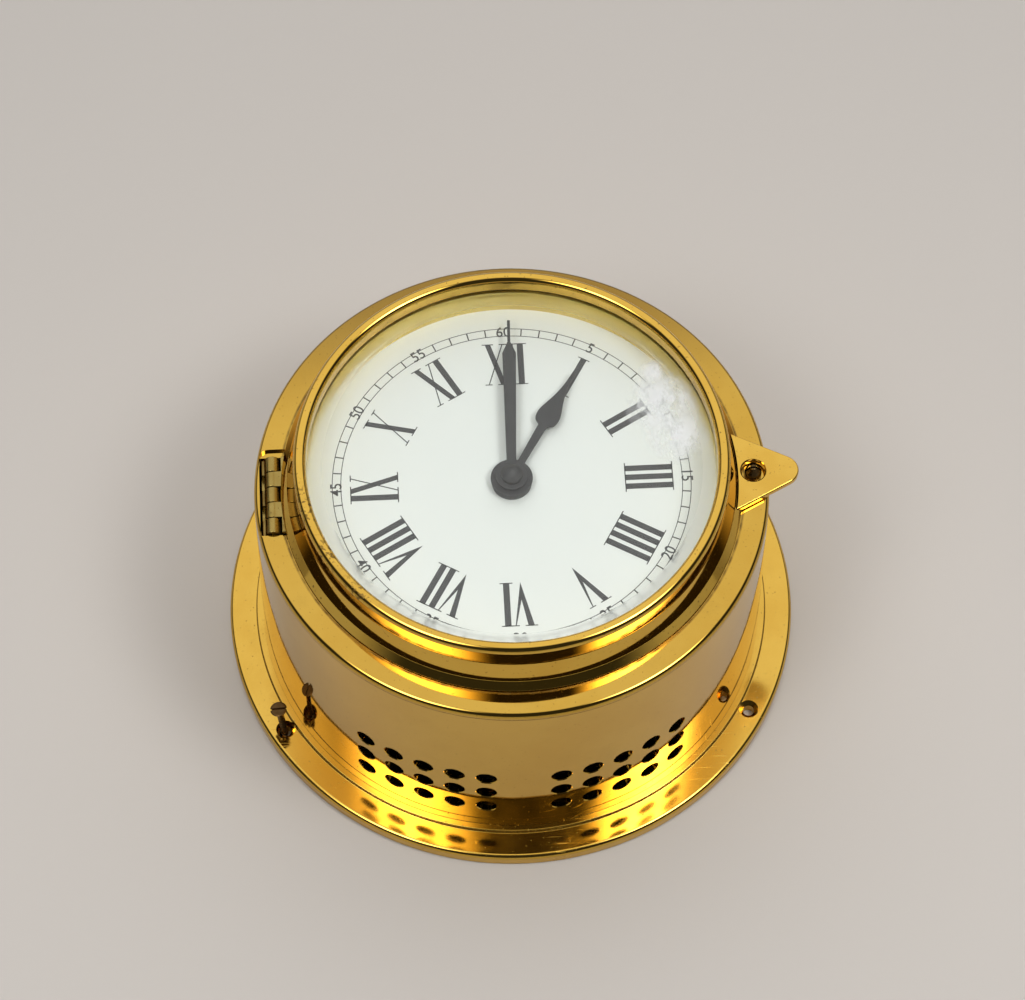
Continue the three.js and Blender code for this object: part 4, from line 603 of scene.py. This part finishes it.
numerals = ["XII", "I", "II", "III", "IIII", "V", "VI", "VII", "VIII", "IX", "X", "XI"]
for hour, numeral in enumerate(numerals):
    shapes = []
    x = 0.0
    for kind in numeral:
        width = 3.1 if kind == "I" else 6.2
        shapes += letter(kind, x + width / 2)
        x += width
    spots = [across for shape in shapes for across, away in shape]
    middle = (min(spots) + max(spots)) / 2
    for shape in shapes:
        ink([(across - middle, away) for across, away in shape], hour * 30)

TRACK_IN, TRACK_OUT, TRACK_LINE, TICK = 51.9, 54.5, 0.24, 0.40
for radius in (TRACK_IN, TRACK_OUT):
    for step in range(360):
        a, b = math.radians(step), math.radians(step + 1)
        near, far = radius - TRACK_LINE / 2, radius + TRACK_LINE / 2
        ink([(r * math.sin(t), r * math.cos(t)) for r, t in ((near, b), (far, b), (far, a), (near, a))], 0)
for minute in range(60):
    if minute % 5:
        ink(stroke(0, 0, TICK, TRACK_IN, TRACK_OUT), minute * 6)

FIGURE_SIZE, FIGURE_NARROWED, FIGURE_OUT = 0.0050, 0.92, 53.2
for minute in range(5, 65, 5):
    words = bpy.data.curves.new("figure", "FONT")
    words.body = str(minute)
    words.size = FIGURE_SIZE
    words.offset = 0.00003
    words.align_x = "CENTER"
    words.align_y = "CENTER"
    words.resolution_u = 4
    figure = link("figure", words)
    shape = bpy.data.meshes.new_from_object(figure.evaluated_get(bpy.context.evaluated_depsgraph_get()))
    up = -1 if 20 <= minute <= 40 else 1
    places = [vert.co * up * 1000 for vert in shape.vertices]
    corners = [(place.x * FIGURE_NARROWED, place.y + FIGURE_OUT) for place in places]
    ink(corners, minute * 6, [face.vertices for face in shape.polygons])
    bpy.data.objects.remove(figure)
    bpy.data.curves.remove(words)
    bpy.data.meshes.remove(shape)

print_mesh = bpy.data.meshes.new("dial_print")
print_mesh.from_pydata(print_verts, [], print_faces)
dial_ink, tree = new_tree("dial_ink")
ink_colour = mixed(tree, noise(tree, 1.4, detail=3), (0.040, 0.040, 0.042, 1), (0.062, 0.062, 0.064, 1))
coated(tree, ink_colour, spread(tree, noise(tree, 4), 0.3, 0.7, 0.42, 0.56), specular=0.35)
dress(link("dial_print", print_mesh), dial_ink, "case", "black_paint")


# Dial collar. Thin brass ring that stands round the dial and hides its edge. Its inner side mirrors the
# dial softly.
collar_outline = [
    (63.4, RIM_TOP), (64.2, RIM_TOP), (64.2, 88.2, 0.3), (61.6, 88.2, 0.3), (61.6, DIAL_TOP),
    (63.4, DIAL_TOP),
]
dial_collar = link("dial_collar_brass", turned_mesh("dial_collar", collar_outline))
shade_turned(dial_collar.data, collar_outline)
collar_brass = brass("collar_brass", (0.70, 0.55, 0.155), shine=0.26, blotch=20, waves=0.00001, stain=0.05,
                     specks=0.2, scratches=0.2)
dress(dial_collar, collar_brass, "case", "polished_brass", "dial_collar")


# Bezel ring. Cast and turned brass: a flared foot, a tapering wall, and a half round bead over the glass.
# It swings on the hinge at nine o'clock. Brown specks of tarnish sit on its left side.
bezel_outline = [
    (64.7, BEZEL_FOOT), (70.4, BEZEL_FOOT, 0.2), (68.2, 83.9, 0.5), (65.9, 90.5, 2.2),
    (65.9, BEZEL_TOP, 1.95), (61.9, BEZEL_TOP, 1.95), (61.9, GLASS_TOP, 0.15), (64.7, GLASS_TOP),
]
bezel_ring = link("bezel_ring_brass", turned_mesh("bezel_ring", bezel_outline))
shade_turned(bezel_ring.data, bezel_outline)
bezel_brass = brass("bezel_brass", golden, shine=0.028, blotch=28, waves=0.000015, stain=0.12, specks=0.6,
                    scratches=0.35, seams=[("z", BEZEL_FOOT, 0.35)],
                    pits=[((-0.0620, -0.0140, 0.0980), 0.012), ((-0.0560, -0.0310, 0.0975), 0.010),
                          ((-0.0465, -0.0430, 0.0975), 0.009)])
dress(bezel_ring, bezel_brass, "bezel", "polished_brass", "bezel_ring")


# Glass. Thick float glass with a broad ground bevel, held from below. A whitish patch towards two o'clock
# is a painted reflection of a bright light, mixed into the glass as opaque diffuse white.
GLASS_R, BEVEL_R = 64.4, 57.4
glass_outline = [
    (0, GLASS_LOW), (GLASS_R, GLASS_LOW, 0.15), (GLASS_R, 92.1, 0.1), (BEVEL_R, GLASS_TOP), (0, GLASS_TOP),
]
bezel_glass = link("bezel_glass_clear", turned_mesh("bezel_glass", glass_outline))
shade_turned(bezel_glass.data, glass_outline, 5)
clear_glass, tree = new_tree("clear_glass")
place = put(tree, "ShaderNodeTexCoord").outputs["Object"]
ground = spread(tree, flat_length(tree, place), (BEVEL_R - 0.2) / 1000, (BEVEL_R + 0.2) / 1000, 0.0, 0.30)
glass_rough = calc(tree, "MAXIMUM", ground, spread(tree, noise(tree, 18, detail=4), 0.4, 0.75, 0.0, 0.03))
glass = put(tree, "ShaderNodeBsdfPrincipled", {
    "Base Color": (0.985, 0.995, 0.99, 1), "Roughness": glass_rough,
    "IOR": 1.38, "Transmission Weight": 1.0,
})
# Painted reflection: a whitish patch with streaky edges towards two o'clock, where a bright light is
# mirrored, drawn as opaque diffuse white.
painted_glare = 0.0
for x, y, reach in ((46.8, 19.0, 12.5), (50.5, 8.5, 10.5), (45.0, 30.0, 5.0)):
    away = distance_to(tree, place, (x / 1000, y / 1000, GLASS_TOP / 1000))
    painted_glare = calc(tree, "MAXIMUM", painted_glare, spread(tree, away, 0.0, reach / 1000, 1.0, 0.0))
painted_glare = calc(tree, "POWER", painted_glare, 0.6)
glare_streaks = noise(tree, 6, (1, 0.6, 1), detail=6, roughness=0.65, shift=6)
painted_glare = calc(tree, "MULTIPLY", painted_glare, spread(tree, glare_streaks, 0.38, 0.58))
painted_glare = calc(tree, "MULTIPLY", painted_glare, 0.92)
glare_white = put(tree, "ShaderNodeBsdfDiffuse", {"Color": (0.70, 0.72, 0.73, 1)})
glare_mixed = put(tree, "ShaderNodeMixShader", {0: painted_glare, 1: glass.outputs[0], 2: glare_white.outputs[0]})
passing = put(tree, "ShaderNodeBsdfTransparent", {"Color": (0.93, 0.95, 0.94, 1)})
path = put(tree, "ShaderNodeLightPath").outputs
straight = calc(tree, "MAXIMUM", path["Is Shadow Ray"], path["Is Diffuse Ray"])
glazed = put(tree, "ShaderNodeMixShader", {0: straight, 1: glare_mixed.outputs[0], 2: passing.outputs[0]})
finished(tree, glazed.outputs[0])
dress(bezel_glass, clear_glass, "bezel", "clear_glass", "bezel_glass")


# Glass retainer. A plain brass ring under the glass that presses it against the bead.
retainer_outline = [(62, 88.6, 0.2), (GLASS_R, 88.6, 0.2), (GLASS_R, GLASS_LOW), (62, GLASS_LOW)]
glass_retainer = link("glass_retainer_brass", turned_mesh("glass_retainer", retainer_outline))
shade_turned(glass_retainer.data, retainer_outline)
dress(glass_retainer, collar_brass, "bezel", "polished_brass", "glass_retainer")


# Latch tab. A flat triangular brass tongue on the bezel at three o'clock, with a hole that snaps over the
# stud. Its edges are rounded by hand polishing.
def shade_flat(piece):
    """Keeps the flat faces flat and lets the rounded edges run smoothly into them."""
    piece.data.shade_smooth()
    piece.data.set_sharp_from_angle(angle=math.radians(40))
    modifier = piece.modifiers.new("even", "WEIGHTED_NORMAL")
    modifier.keep_sharp = True
    modifier.weight = 100
    settle(piece)


TAB_X, TAB_HALF_W, TAB_TIP_X, TAB_TIP_R = 67, 13.7, 82.4, 5
tab_length = TAB_X - TAB_TIP_X
side_angle = math.atan2(TAB_HALF_W, tab_length) - math.acos(TAB_TIP_R / math.hypot(tab_length, TAB_HALF_W))
side_angle = math.degrees(side_angle)
tab_tip = round_corner(TAB_TIP_X, 0, TAB_TIP_R, -side_angle, side_angle, 16)
tab_corners = [(TAB_X, TAB_HALF_W), (TAB_X, -TAB_HALF_W), *tab_tip]
latch_tab = link("latch_tab_brass", plate_mesh("latch_tab", tab_corners[::-1], BEZEL_FOOT, 83.4, 0.55, 4))
foot_gap = [(0, 80), (70.7, 80), (70.7, BEZEL_FOOT), (68.5, 83.9), (66.2, 90.5), (0, 90.5)]
carve(latch_tab, [(turned_mesh("gap", foot_gap), Matrix())])
carve(latch_tab, [round_hole([(4.2, 80.7), (3.7, 81.5), (3.7, 83.05), (4.25, 83.6)], upright(STUD_X, 0))])
shade_flat(latch_tab)
tab_brass = brass("tab_brass", golden, shine=0.06, blotch=14, waves=0.00002, stain=0.15, specks=0.5,
                  scratches=0.6)
dress(latch_tab, tab_brass, "bezel", "polished_brass", "latch_tab")


# Catch stud. A small split stud of darkened brass on the rim; the latch tab snaps over its tapered head.
stud_outline = [(0, RIM_TOP), (2.6, RIM_TOP), (2.6, 82.8, 0.3), (0.8, 85.3, 0.5), (0, 85.3)]
catch_stud = link("catch_stud_brass", turned_mesh("catch_stud", stud_outline, 64))
carve(catch_stud, [(plate_mesh("slit", rectangle(-3, 3, -0.3, 0.3), 82.0, 87), Matrix())])
shade_turned(catch_stud.data, stud_outline)
catch_stud.data.transform(upright(STUD_X, 0))
dark_brass = brass("dark_brass", (0.10, 0.065, 0.028), shine=0.20, blotch=2.5, waves=0.00001, stain=0.8,
                   specks=0.8, scratches=0.4)
dress(catch_stud, dark_brass, "case", "dark_brass", "catch_stud")


# Hinge at nine o'clock. Two small brass leaves with interlocking knuckles on one pin. The case leaf drops
# inside the drum, the bezel leaf lies under the bezel's foot. Old oil has turned it olive brown.
hinge_brass = brass("hinge_brass", (0.36, 0.265, 0.08), shine=0.20, blotch=4, waves=0.00002, stain=0.85,
                    specks=0.8, scratches=0.8, seams=[("z", DRUM_TOP, 1.3)])
HINGE_X, HINGE_Z, PIN_HOLE_R = -72.7, 78.9, 1.2
LEAF_HALF, KNUCKLE_PITCH, KNUCKLE_L = 13.15, 5.3, 5.1
lying = Matrix.Translation((HINGE_X / 1000, 0, HINGE_Z / 1000)) @ Matrix.Rotation(-math.pi / 2, 4, "X")


def knuckle(first, last):
    outline = [(PIN_HOLE_R, first), (2.45, first, 0.25), (2.45, last, 0.25), (PIN_HOLE_R, last)]
    return turned_mesh("knuckle", outline, 48), lying


def spans(first):
    """The ends of every second knuckle of the five, from the first one named."""
    starts = [-LEAF_HALF + KNUCKLE_PITCH * i for i in range(first, 5, 2)]
    return [(start, start + KNUCKLE_L) for start in starts]


def gaps(first, x_low, x_high, z_low, z_high, play):
    """Cutters that clear the other leaf's knuckles, with this play at their ends."""
    return [
        (plate_mesh("gap", rectangle(x_low, x_high, a - play, b + play), z_low, z_high), Matrix())
        for a, b in spans(first)
    ]


def pin_hole():
    return turned_mesh("bore", [(0, -14), (PIN_HOLE_R, -14), (PIN_HOLE_R, 14), (0, 14)], 32), lying


case_corners = rectangle(-76, -74.6, -LEAF_HALF, LEAF_HALF)
case_leaf = link("hinge_case_leaf_brass", plate_mesh("hinge_case_leaf", case_corners, 62, HINGE_Z, 0.3))
carve(case_leaf, [knuckle(*span) for span in spans(0)], "UNION")
carve(case_leaf, gaps(1, -78, -73, 76.1, 80, 0.12))
carve(case_leaf, [pin_hole()])
shade_flat(case_leaf)
dress(case_leaf, hinge_brass, "case", "worn_brass", "hinge_case_leaf")

bezel_corners = rectangle(HINGE_X, -66.4, -LEAF_HALF, LEAF_HALF)
bezel_plate = plate_mesh("hinge_bezel_leaf", bezel_corners, 79.9, BEZEL_FOOT, 0.25)
bezel_leaf = link("hinge_bezel_leaf_brass", bezel_plate)
carve(bezel_leaf, gaps(0, -74, -69.95, 79, 82, 0.2))
carve(bezel_leaf, [knuckle(*span) for span in spans(1)], "UNION")
carve(bezel_leaf, [pin_hole()])
shade_flat(bezel_leaf)
dress(bezel_leaf, hinge_brass, "bezel", "worn_brass", "hinge_bezel_leaf")

pin_outline = [(0, -LEAF_HALF), (1.1, -LEAF_HALF, 0.35), (1.1, LEAF_HALF, 0.35), (0, LEAF_HALF)]
pin_mesh = turned_mesh("hinge_pin", pin_outline, 48)
shade_turned(pin_mesh, pin_outline)
pin_mesh.transform(lying)
dress(link("hinge_pin_brass", pin_mesh), hinge_brass, "case", "worn_brass", "hinge_pin")


# Hands. Stamped from thin sheet and sprayed matt black. The hour hand swells like a spade and ends in a
# needle, the minute hand is a long bar with a needle tip. A nut clamps the dial, a cap covers the arbor.
hand_black, tree = new_tree("hand_black")
soot = mixed(tree, noise(tree, 5, detail=4), (0.010, 0.010, 0.0105, 1), (0.019, 0.019, 0.0195, 1))
soot_rough = spread(tree, noise(tree, 2.2, detail=3), 0.3, 0.7, 0.42, 0.60)
coated(tree, soot, soot_rough, relief(tree, 0.4, 0.00001, noise(tree, 0.25, detail=3, roughness=0.7)))


def curve_points(*controls, steps=14):
    """The points of a cubic curve with four controls (x, y), without its first one."""
    points = []
    for i in range(1, steps + 1):
        t = i / steps
        weights = ((1 - t) ** 3, 3 * t * (1 - t) ** 2, 3 * t * t * (1 - t), t ** 3)
        x = sum(weight * control[0] for weight, control in zip(weights, controls))
        y = sum(weight * control[1] for weight, control in zip(weights, controls))
        points.append((x, y))
    return points


def mirrored(right_side):
    """Closes an outline from its right half, given from the bottom up."""
    return right_side + [(-x, y) for x, y in reversed(right_side)]


HOUR_HUB_R, MINUTE_HUB_R, HAND_EDGE = 6.4, 4.9, 0.12
hub_join = math.sqrt(HOUR_HUB_R ** 2 - 1.15 ** 2)
bulb_rise = curve_points((1.4, 20.6), (2.9, 21.2), (3.65, 22.1), (3.65, 24.2))
bulb_fall = curve_points((3.65, 24.2), (3.65, 27.8), (0.45, 31.4), (0.45, 41.8))
blade = mirrored([(1.1, hub_join), (1.4, 20.6), *bulb_rise, *bulb_fall])
hub = round_corner(0, 0, HOUR_HUB_R, 100.5, 439.5, 60)
hour_hand = link("hour_hand_black", plate_mesh("hour_hand", hub[1:-1] + blade, 83.7, 84.3, HAND_EDGE))
carve(hour_hand, [round_hole([(2.3, 83), (2.3, 85)], Matrix())])
shade_flat(hour_hand)
hour_hand.data.transform(Matrix.Rotation(math.radians(-30.15), 4, "Z"))
dress(hour_hand, hand_black, "hour", "black_paint", "hour_hand")

hub_join = math.sqrt(MINUTE_HUB_R ** 2 - 1.45 ** 2)
bar = mirrored([(1.45, hub_join), (2.1, 43.2), (0.45, 47.2), (0.45, 54.8), (0.3, 55.0)])
hub = round_corner(0, 0, MINUTE_HUB_R, 107.5, 432.5, 60)
minute_hand = link("minute_hand_black", plate_mesh("minute_hand", hub[1:-1] + bar, 85.2, 85.8, HAND_EDGE))
carve(minute_hand, [round_hole([(1.3, 84), (1.3, 87)], Matrix())])
shade_flat(minute_hand)
minute_hand.data.transform(Matrix.Rotation(math.radians(-1.8), 4, "Z"))
dress(minute_hand, hand_black, "minute", "black_paint", "minute_hand")

cap_outline = [
    (0, 87.0), (1.3, 87.0), (1.3, 85.8), (3.3, 85.8), (3.3, 87.0, 0.45), (1.8, 88.2, 0.8),
    (0.66, 88.7, 0.4), (0, 89.1),
]
hand_cap = link("hand_cap_black", turned_mesh("hand_cap", cap_outline, 96))
shade_turned(hand_cap.data, cap_outline, 40)
dress(hand_cap, hand_black, "minute", "black_paint", "hand_cap")

nut_outline = [(4.1, DIAL_TOP), (6.1, DIAL_TOP), (6.1, 83.4, 0.5), (4.1, 83.4, 0.2)]
centre_nut = link("centre_nut_black", turned_mesh("centre_nut", nut_outline, 96))
shade_turned(centre_nut.data, nut_outline)
dress(centre_nut, hand_black, "case", "black_paint", "centre_nut")


# Loose mounting screw. A small slotted wood screw, browned and dirty, stuck in the lower left fixing hole.
# It leans outwards.
THREAD_PITCH, THREAD_CREST_R, THREAD_ROOT_R, THREAD_END = 1.15, 1.15, 0.82, 11.0


def thread_radius(z, turn):
    """The screw's radius at a height, at this share of a turn. The thread runs out into the plain shank."""
    phase = (z / THREAD_PITCH - turn) % 1
    ridge = max(0.0, 1 - abs(phase - 0.5) / 0.32)
    fade = min(1.0, max(0.0, THREAD_END - z))
    raised = ridge * fade + (1 - fade) * 0.8
    taper = min(1.0, 0.25 + z / 3.0)
    return (THREAD_ROOT_R + (THREAD_CREST_R - THREAD_ROOT_R) * raised) * taper


def screw_mesh(steps=40):
    """A wood screw with a cut thread, its tip at the origin."""
    turns = [i / steps for i in range(steps)]
    levels = [0.3 + 0.115 * i for i in range(96)]
    rings = [(z, [thread_radius(z, turn) for turn in turns]) for z in levels]
    head = [(1.08, 14.3), (1.15, 14.5), (2.6, 15.95), (2.65, 16.05), (2.65, 16.2), (2.5, 16.3), (1.9, 16.4)]
    rings += [(z, [radius] * steps) for radius, z in head]
    verts = [(0, 0, 0)]
    for z, radii in rings:
        for turn, radius in zip(turns, radii):
            angle = 2 * math.pi * turn
            verts.append((radius * math.cos(angle) / 1000, radius * math.sin(angle) / 1000, z / 1000))
    faces = [(0, 1 + (i + 1) % steps, 1 + i) for i in range(steps)]
    for k in range(len(rings) - 1):
        low, high = 1 + k * steps, 1 + (k + 1) * steps
        faces += [(low + i, low + (i + 1) % steps, high + (i + 1) % steps, high + i) for i in range(steps)]
    last = 1 + (len(rings) - 1) * steps
    faces.append(tuple(range(last, last + steps)))
    mesh = bpy.data.meshes.new("mounting_screw")
    mesh.from_pydata(verts, [], faces)
    return mesh


mounting_screw = link("mounting_screw_brown", screw_mesh())
carve(mounting_screw, [(plate_mesh("cut", rectangle(-4, 4, -0.35, 0.35), 15.6, 18), Matrix())])
shade_flat(mounting_screw)
leaning = Matrix.Rotation(math.radians(8), 4, Vector((*around(1, 229), 0)))
clear_of_table = Matrix.Translation((0, 0, 0.0001))
screw_place = upright(*around(FIXING_CIRCLE_R, FIXING_ANGLES[1]))
mounting_screw.data.transform(screw_place @ clear_of_table @ leaning)
rusty = brass("rusty_screw", (0.095, 0.055, 0.022), shine=0.26, blotch=1.6, waves=0.00002, stain=0.9,
              specks=0.9, scratches=0.5)
dress(mounting_screw, rusty, "case", "rusty_steel", "mounting_screw")


# Back cover. A sheet steel disc, sprayed satin black, let into the flange and held by three countersunk
# plated screws. It opens the battery room.
COVER_R, COVER_H = 70, 1.6
cover_outline = [(0, 0), (COVER_R, 0, 0.25), (COVER_R, COVER_H, 0.25), (0, COVER_H)]
back_cover = link("back_cover_black", turned_mesh("back_cover", cover_outline))
cover_places = [upright(*around(COVER_SCREW_CIRCLE_R, angle)) for angle in COVER_SCREW_ANGLES]
cover_hole = [(3.0, -0.3), (2.8, 0), (1.6, 1.4), (1.6, 3)]
carve(back_cover, [round_hole(cover_hole, place) for place in cover_places])
shade_turned(back_cover.data, cover_outline)
cover_black, tree = new_tree("cover_black")
paint = mixed(tree, noise(tree, 30, detail=4), (0.016, 0.016, 0.017, 1), (0.030, 0.029, 0.029, 1))
rubs = spread(tree, noise(tree, 7, (0.15, 1, 1), detail=5, roughness=0.7, shift=3), 0.66, 0.78)
paint = mixed(tree, rubs, paint, (0.10, 0.10, 0.10, 1))
paint_rough = spread(tree, noise(tree, 9, detail=4, shift=2), 0.3, 0.7, 0.40, 0.58)
coated(tree, paint, paint_rough, relief(tree, 0.5, 0.00003, noise(tree, 0.6, detail=3, roughness=0.7)))
dress(back_cover, cover_black, "case", "black_paint", "back_cover")


def metal(name, light, dark, rough, pitch=3.0, stretch=(1, 1, 1), depth=0.000006):
    """Plain metal or plating with clouds of colour and fine marks, pressed in to depth in metres."""
    material, tree = new_tree(name)
    clouds = noise(tree, pitch * 3, detail=4, roughness=0.6)
    colour = mixed(tree, spread(tree, clouds, 0.35, 0.7), (*light, 1), (*dark, 1))
    marks = noise(tree, pitch * 0.3, stretch, detail=4, roughness=0.7, shift=2)
    dull = spread(tree, marks, 0.3, 0.7, rough * 0.8, rough * 1.3)
    coated(tree, colour, dull, relief(tree, 0.6, depth, marks), metallic=1.0)
    return material


plated_steel = metal("plated_steel", (0.62, 0.62, 0.61), (0.42, 0.42, 0.42), 0.26)
screw_outline = [(0, 0.1), (2.5, 0.1, 0.1), (1.3, 1.4), (1.3, 3.9, 0.3), (0, 3.9)]
for number, place in enumerate(cover_places, 1):
    cover_screw = link(f"cover_screw_{number}_plated", turned_mesh("cover_screw", screw_outline, 64))
    carve(cover_screw, [(plate_mesh("cut", rectangle(-3, 3, -0.35, 0.35), -1, 0.8), Matrix())])
    shade_turned(cover_screw.data, screw_outline)
    cover_screw.data.transform(place)
    dress(cover_screw, plated_steel, "case", "steel", f"cover_screw_{number}")


# Bell. A spun cup of bell metal, mouth up under the chassis, that the hammer strikes.
BELL_WALL, BELL_BORE_R = 2, 2.3
bell_low, bell_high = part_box("bell_cup")
bell_x, bell_y = (bell_low.x + bell_high.x) * 500, (bell_low.y + bell_high.y) * 500
bell_radius = (bell_high.x - bell_low.x) * 500
bell_top, bell_bottom = bell_high.z * 1000, bell_low.z * 1000
crown_radius = bell_radius / 7


def bell_curve(inset):
    """The bell's wall from crown to mouth, this far inside its outer face."""
    radius, depth = bell_radius - inset, bell_top - bell_bottom - inset
    angles = [math.pi / 2 * i / 12 for i in range(1, 13)]
    return [(radius * math.sin(angle), bell_top - depth * math.cos(angle)) for angle in angles]


bell_outline = [
    (BELL_BORE_R, bell_bottom), (crown_radius, bell_bottom), *bell_curve(0), *bell_curve(BELL_WALL)[::-1],
    (crown_radius, bell_bottom + BELL_WALL), (BELL_BORE_R, bell_bottom + BELL_WALL),
]
bell_cup = link("bell_cup_bronze", turned_mesh("bell_cup", bell_outline, 128))
bell_cup.data.shade_smooth()
bell_cup.data.set_sharp_from_angle(angle=math.radians(40))
bell_cup.data.transform(upright(bell_x, bell_y))
bell_metal = brass("bell_metal", (0.80, 0.58, 0.27), shine=0.14, blotch=12, waves=0.00002, stain=0.2,
                   specks=0.3, scratches=0.6)
dress(bell_cup, bell_metal, "case", "bell_metal", "bell_cup")


# Battery cells. Two C cells side by side, in a plain printed jacket with a dark band and no words.
cell_jacket, tree = new_tree("cell_jacket")
place = put(tree, "ShaderNodeTexCoord").outputs["Object"]
along = calc(tree, "ABSOLUTE", put(tree, "ShaderNodeSeparateXYZ", {0: place}).outputs["X"])
band = spread(tree, along, 0.0100, 0.0102)
jacket = mixed(tree, noise(tree, 14, detail=3), (0.62, 0.44, 0.16, 1), (0.55, 0.38, 0.13, 1))
jacket = mixed(tree, band, jacket, (0.03, 0.03, 0.032, 1))
jacket_rough = spread(tree, noise(tree, 5, detail=3), 0.3, 0.7, 0.25, 0.38)
coated(tree, jacket, jacket_rough, metallic=0.35)
CELL_HALF, CELL_DIP, CELL_GAP = 24.5, 0.3, 0.1
for i in (1, 2):
    low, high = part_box(f"battery_cell_{i}")
    centre = (low + high) / 2
    radius = (high.z - low.z) * 500 - CELL_GAP
    cell_outline = [
        (0, -CELL_HALF + CELL_DIP), (6, -CELL_HALF + CELL_DIP), (6.4, -CELL_HALF, 0.1),
        (radius, -CELL_HALF, 0.8), (radius, CELL_HALF, 0.8), (6.0, CELL_HALF, 0.1),
        (5.6, CELL_HALF - CELL_DIP), (3, CELL_HALF - CELL_DIP), (3, CELL_HALF + 1, 0.4), (0, CELL_HALF + 1),
    ]
    cell = link(f"battery_cell_{i}_jacket", turned_mesh("battery_cell", cell_outline, 96))
    shade_turned(cell.data, cell_outline, 40)
    nub_side = 1 if abs(high.x) > abs(low.x) else -1
    lying_cell = Matrix.Rotation(nub_side * math.pi / 2, 4, "Y")
    cell.data.transform(Matrix.Translation((0, centre.y, centre.z)) @ lying_cell)
    dress(cell, cell_jacket, "case", "cell_jacket", f"battery_cell_{i}")


# Inner works. The movement, the striking unit and their fixings keep their solids and get their finishes:
# moulded plastic, glass fibre board, copper winding, zinc plated sheet and plain steel.
def plastic(name, light, dark, rough=0.45):
    """Moulded plastic or board with a fine grain."""
    material, tree = new_tree(name)
    colour = mixed(tree, noise(tree, 6, detail=4), (*light, 1), (*dark, 1))
    fine = noise(tree, 0.5, detail=3, roughness=0.7)
    dull = spread(tree, noise(tree, 4, detail=3, shift=2), 0.3, 0.7, rough * 0.85, rough * 1.2)
    coated(tree, colour, dull, relief(tree, 0.3, 0.00002, fine), specular=0.4)
    return material


WOUND = {"pitch": 1.0, "stretch": (8, 0.4, 8), "depth": 0.00004}
finishes = {
    "steel": plated_steel,
    "zinc_steel": metal("zinc_sheet", (0.60, 0.61, 0.57), (0.44, 0.45, 0.43), 0.36, 4),
    "black_plastic": plastic("moulded_black", (0.020, 0.020, 0.022), (0.030, 0.030, 0.031)),
    "white_plastic": plastic("moulded_white", (0.78, 0.77, 0.72), (0.70, 0.69, 0.64)),
    "board_green": plastic("glass_fibre_board", (0.022, 0.13, 0.045), (0.030, 0.17, 0.060), 0.35),
    "copper_wire": metal("copper_winding", (0.72, 0.34, 0.18), (0.50, 0.21, 0.10), 0.30, **WOUND),
}
shown = {piece for made in bpy.data.objects for piece in made.get("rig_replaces", [])}
for row in frame["record"]["subparts"]:
    node = frame["nodes"][row["node"]]
    if row["node"] in shown:
        continue
    for slot in node.material_slots:
        slot.material = finishes[row["material_slot"]]
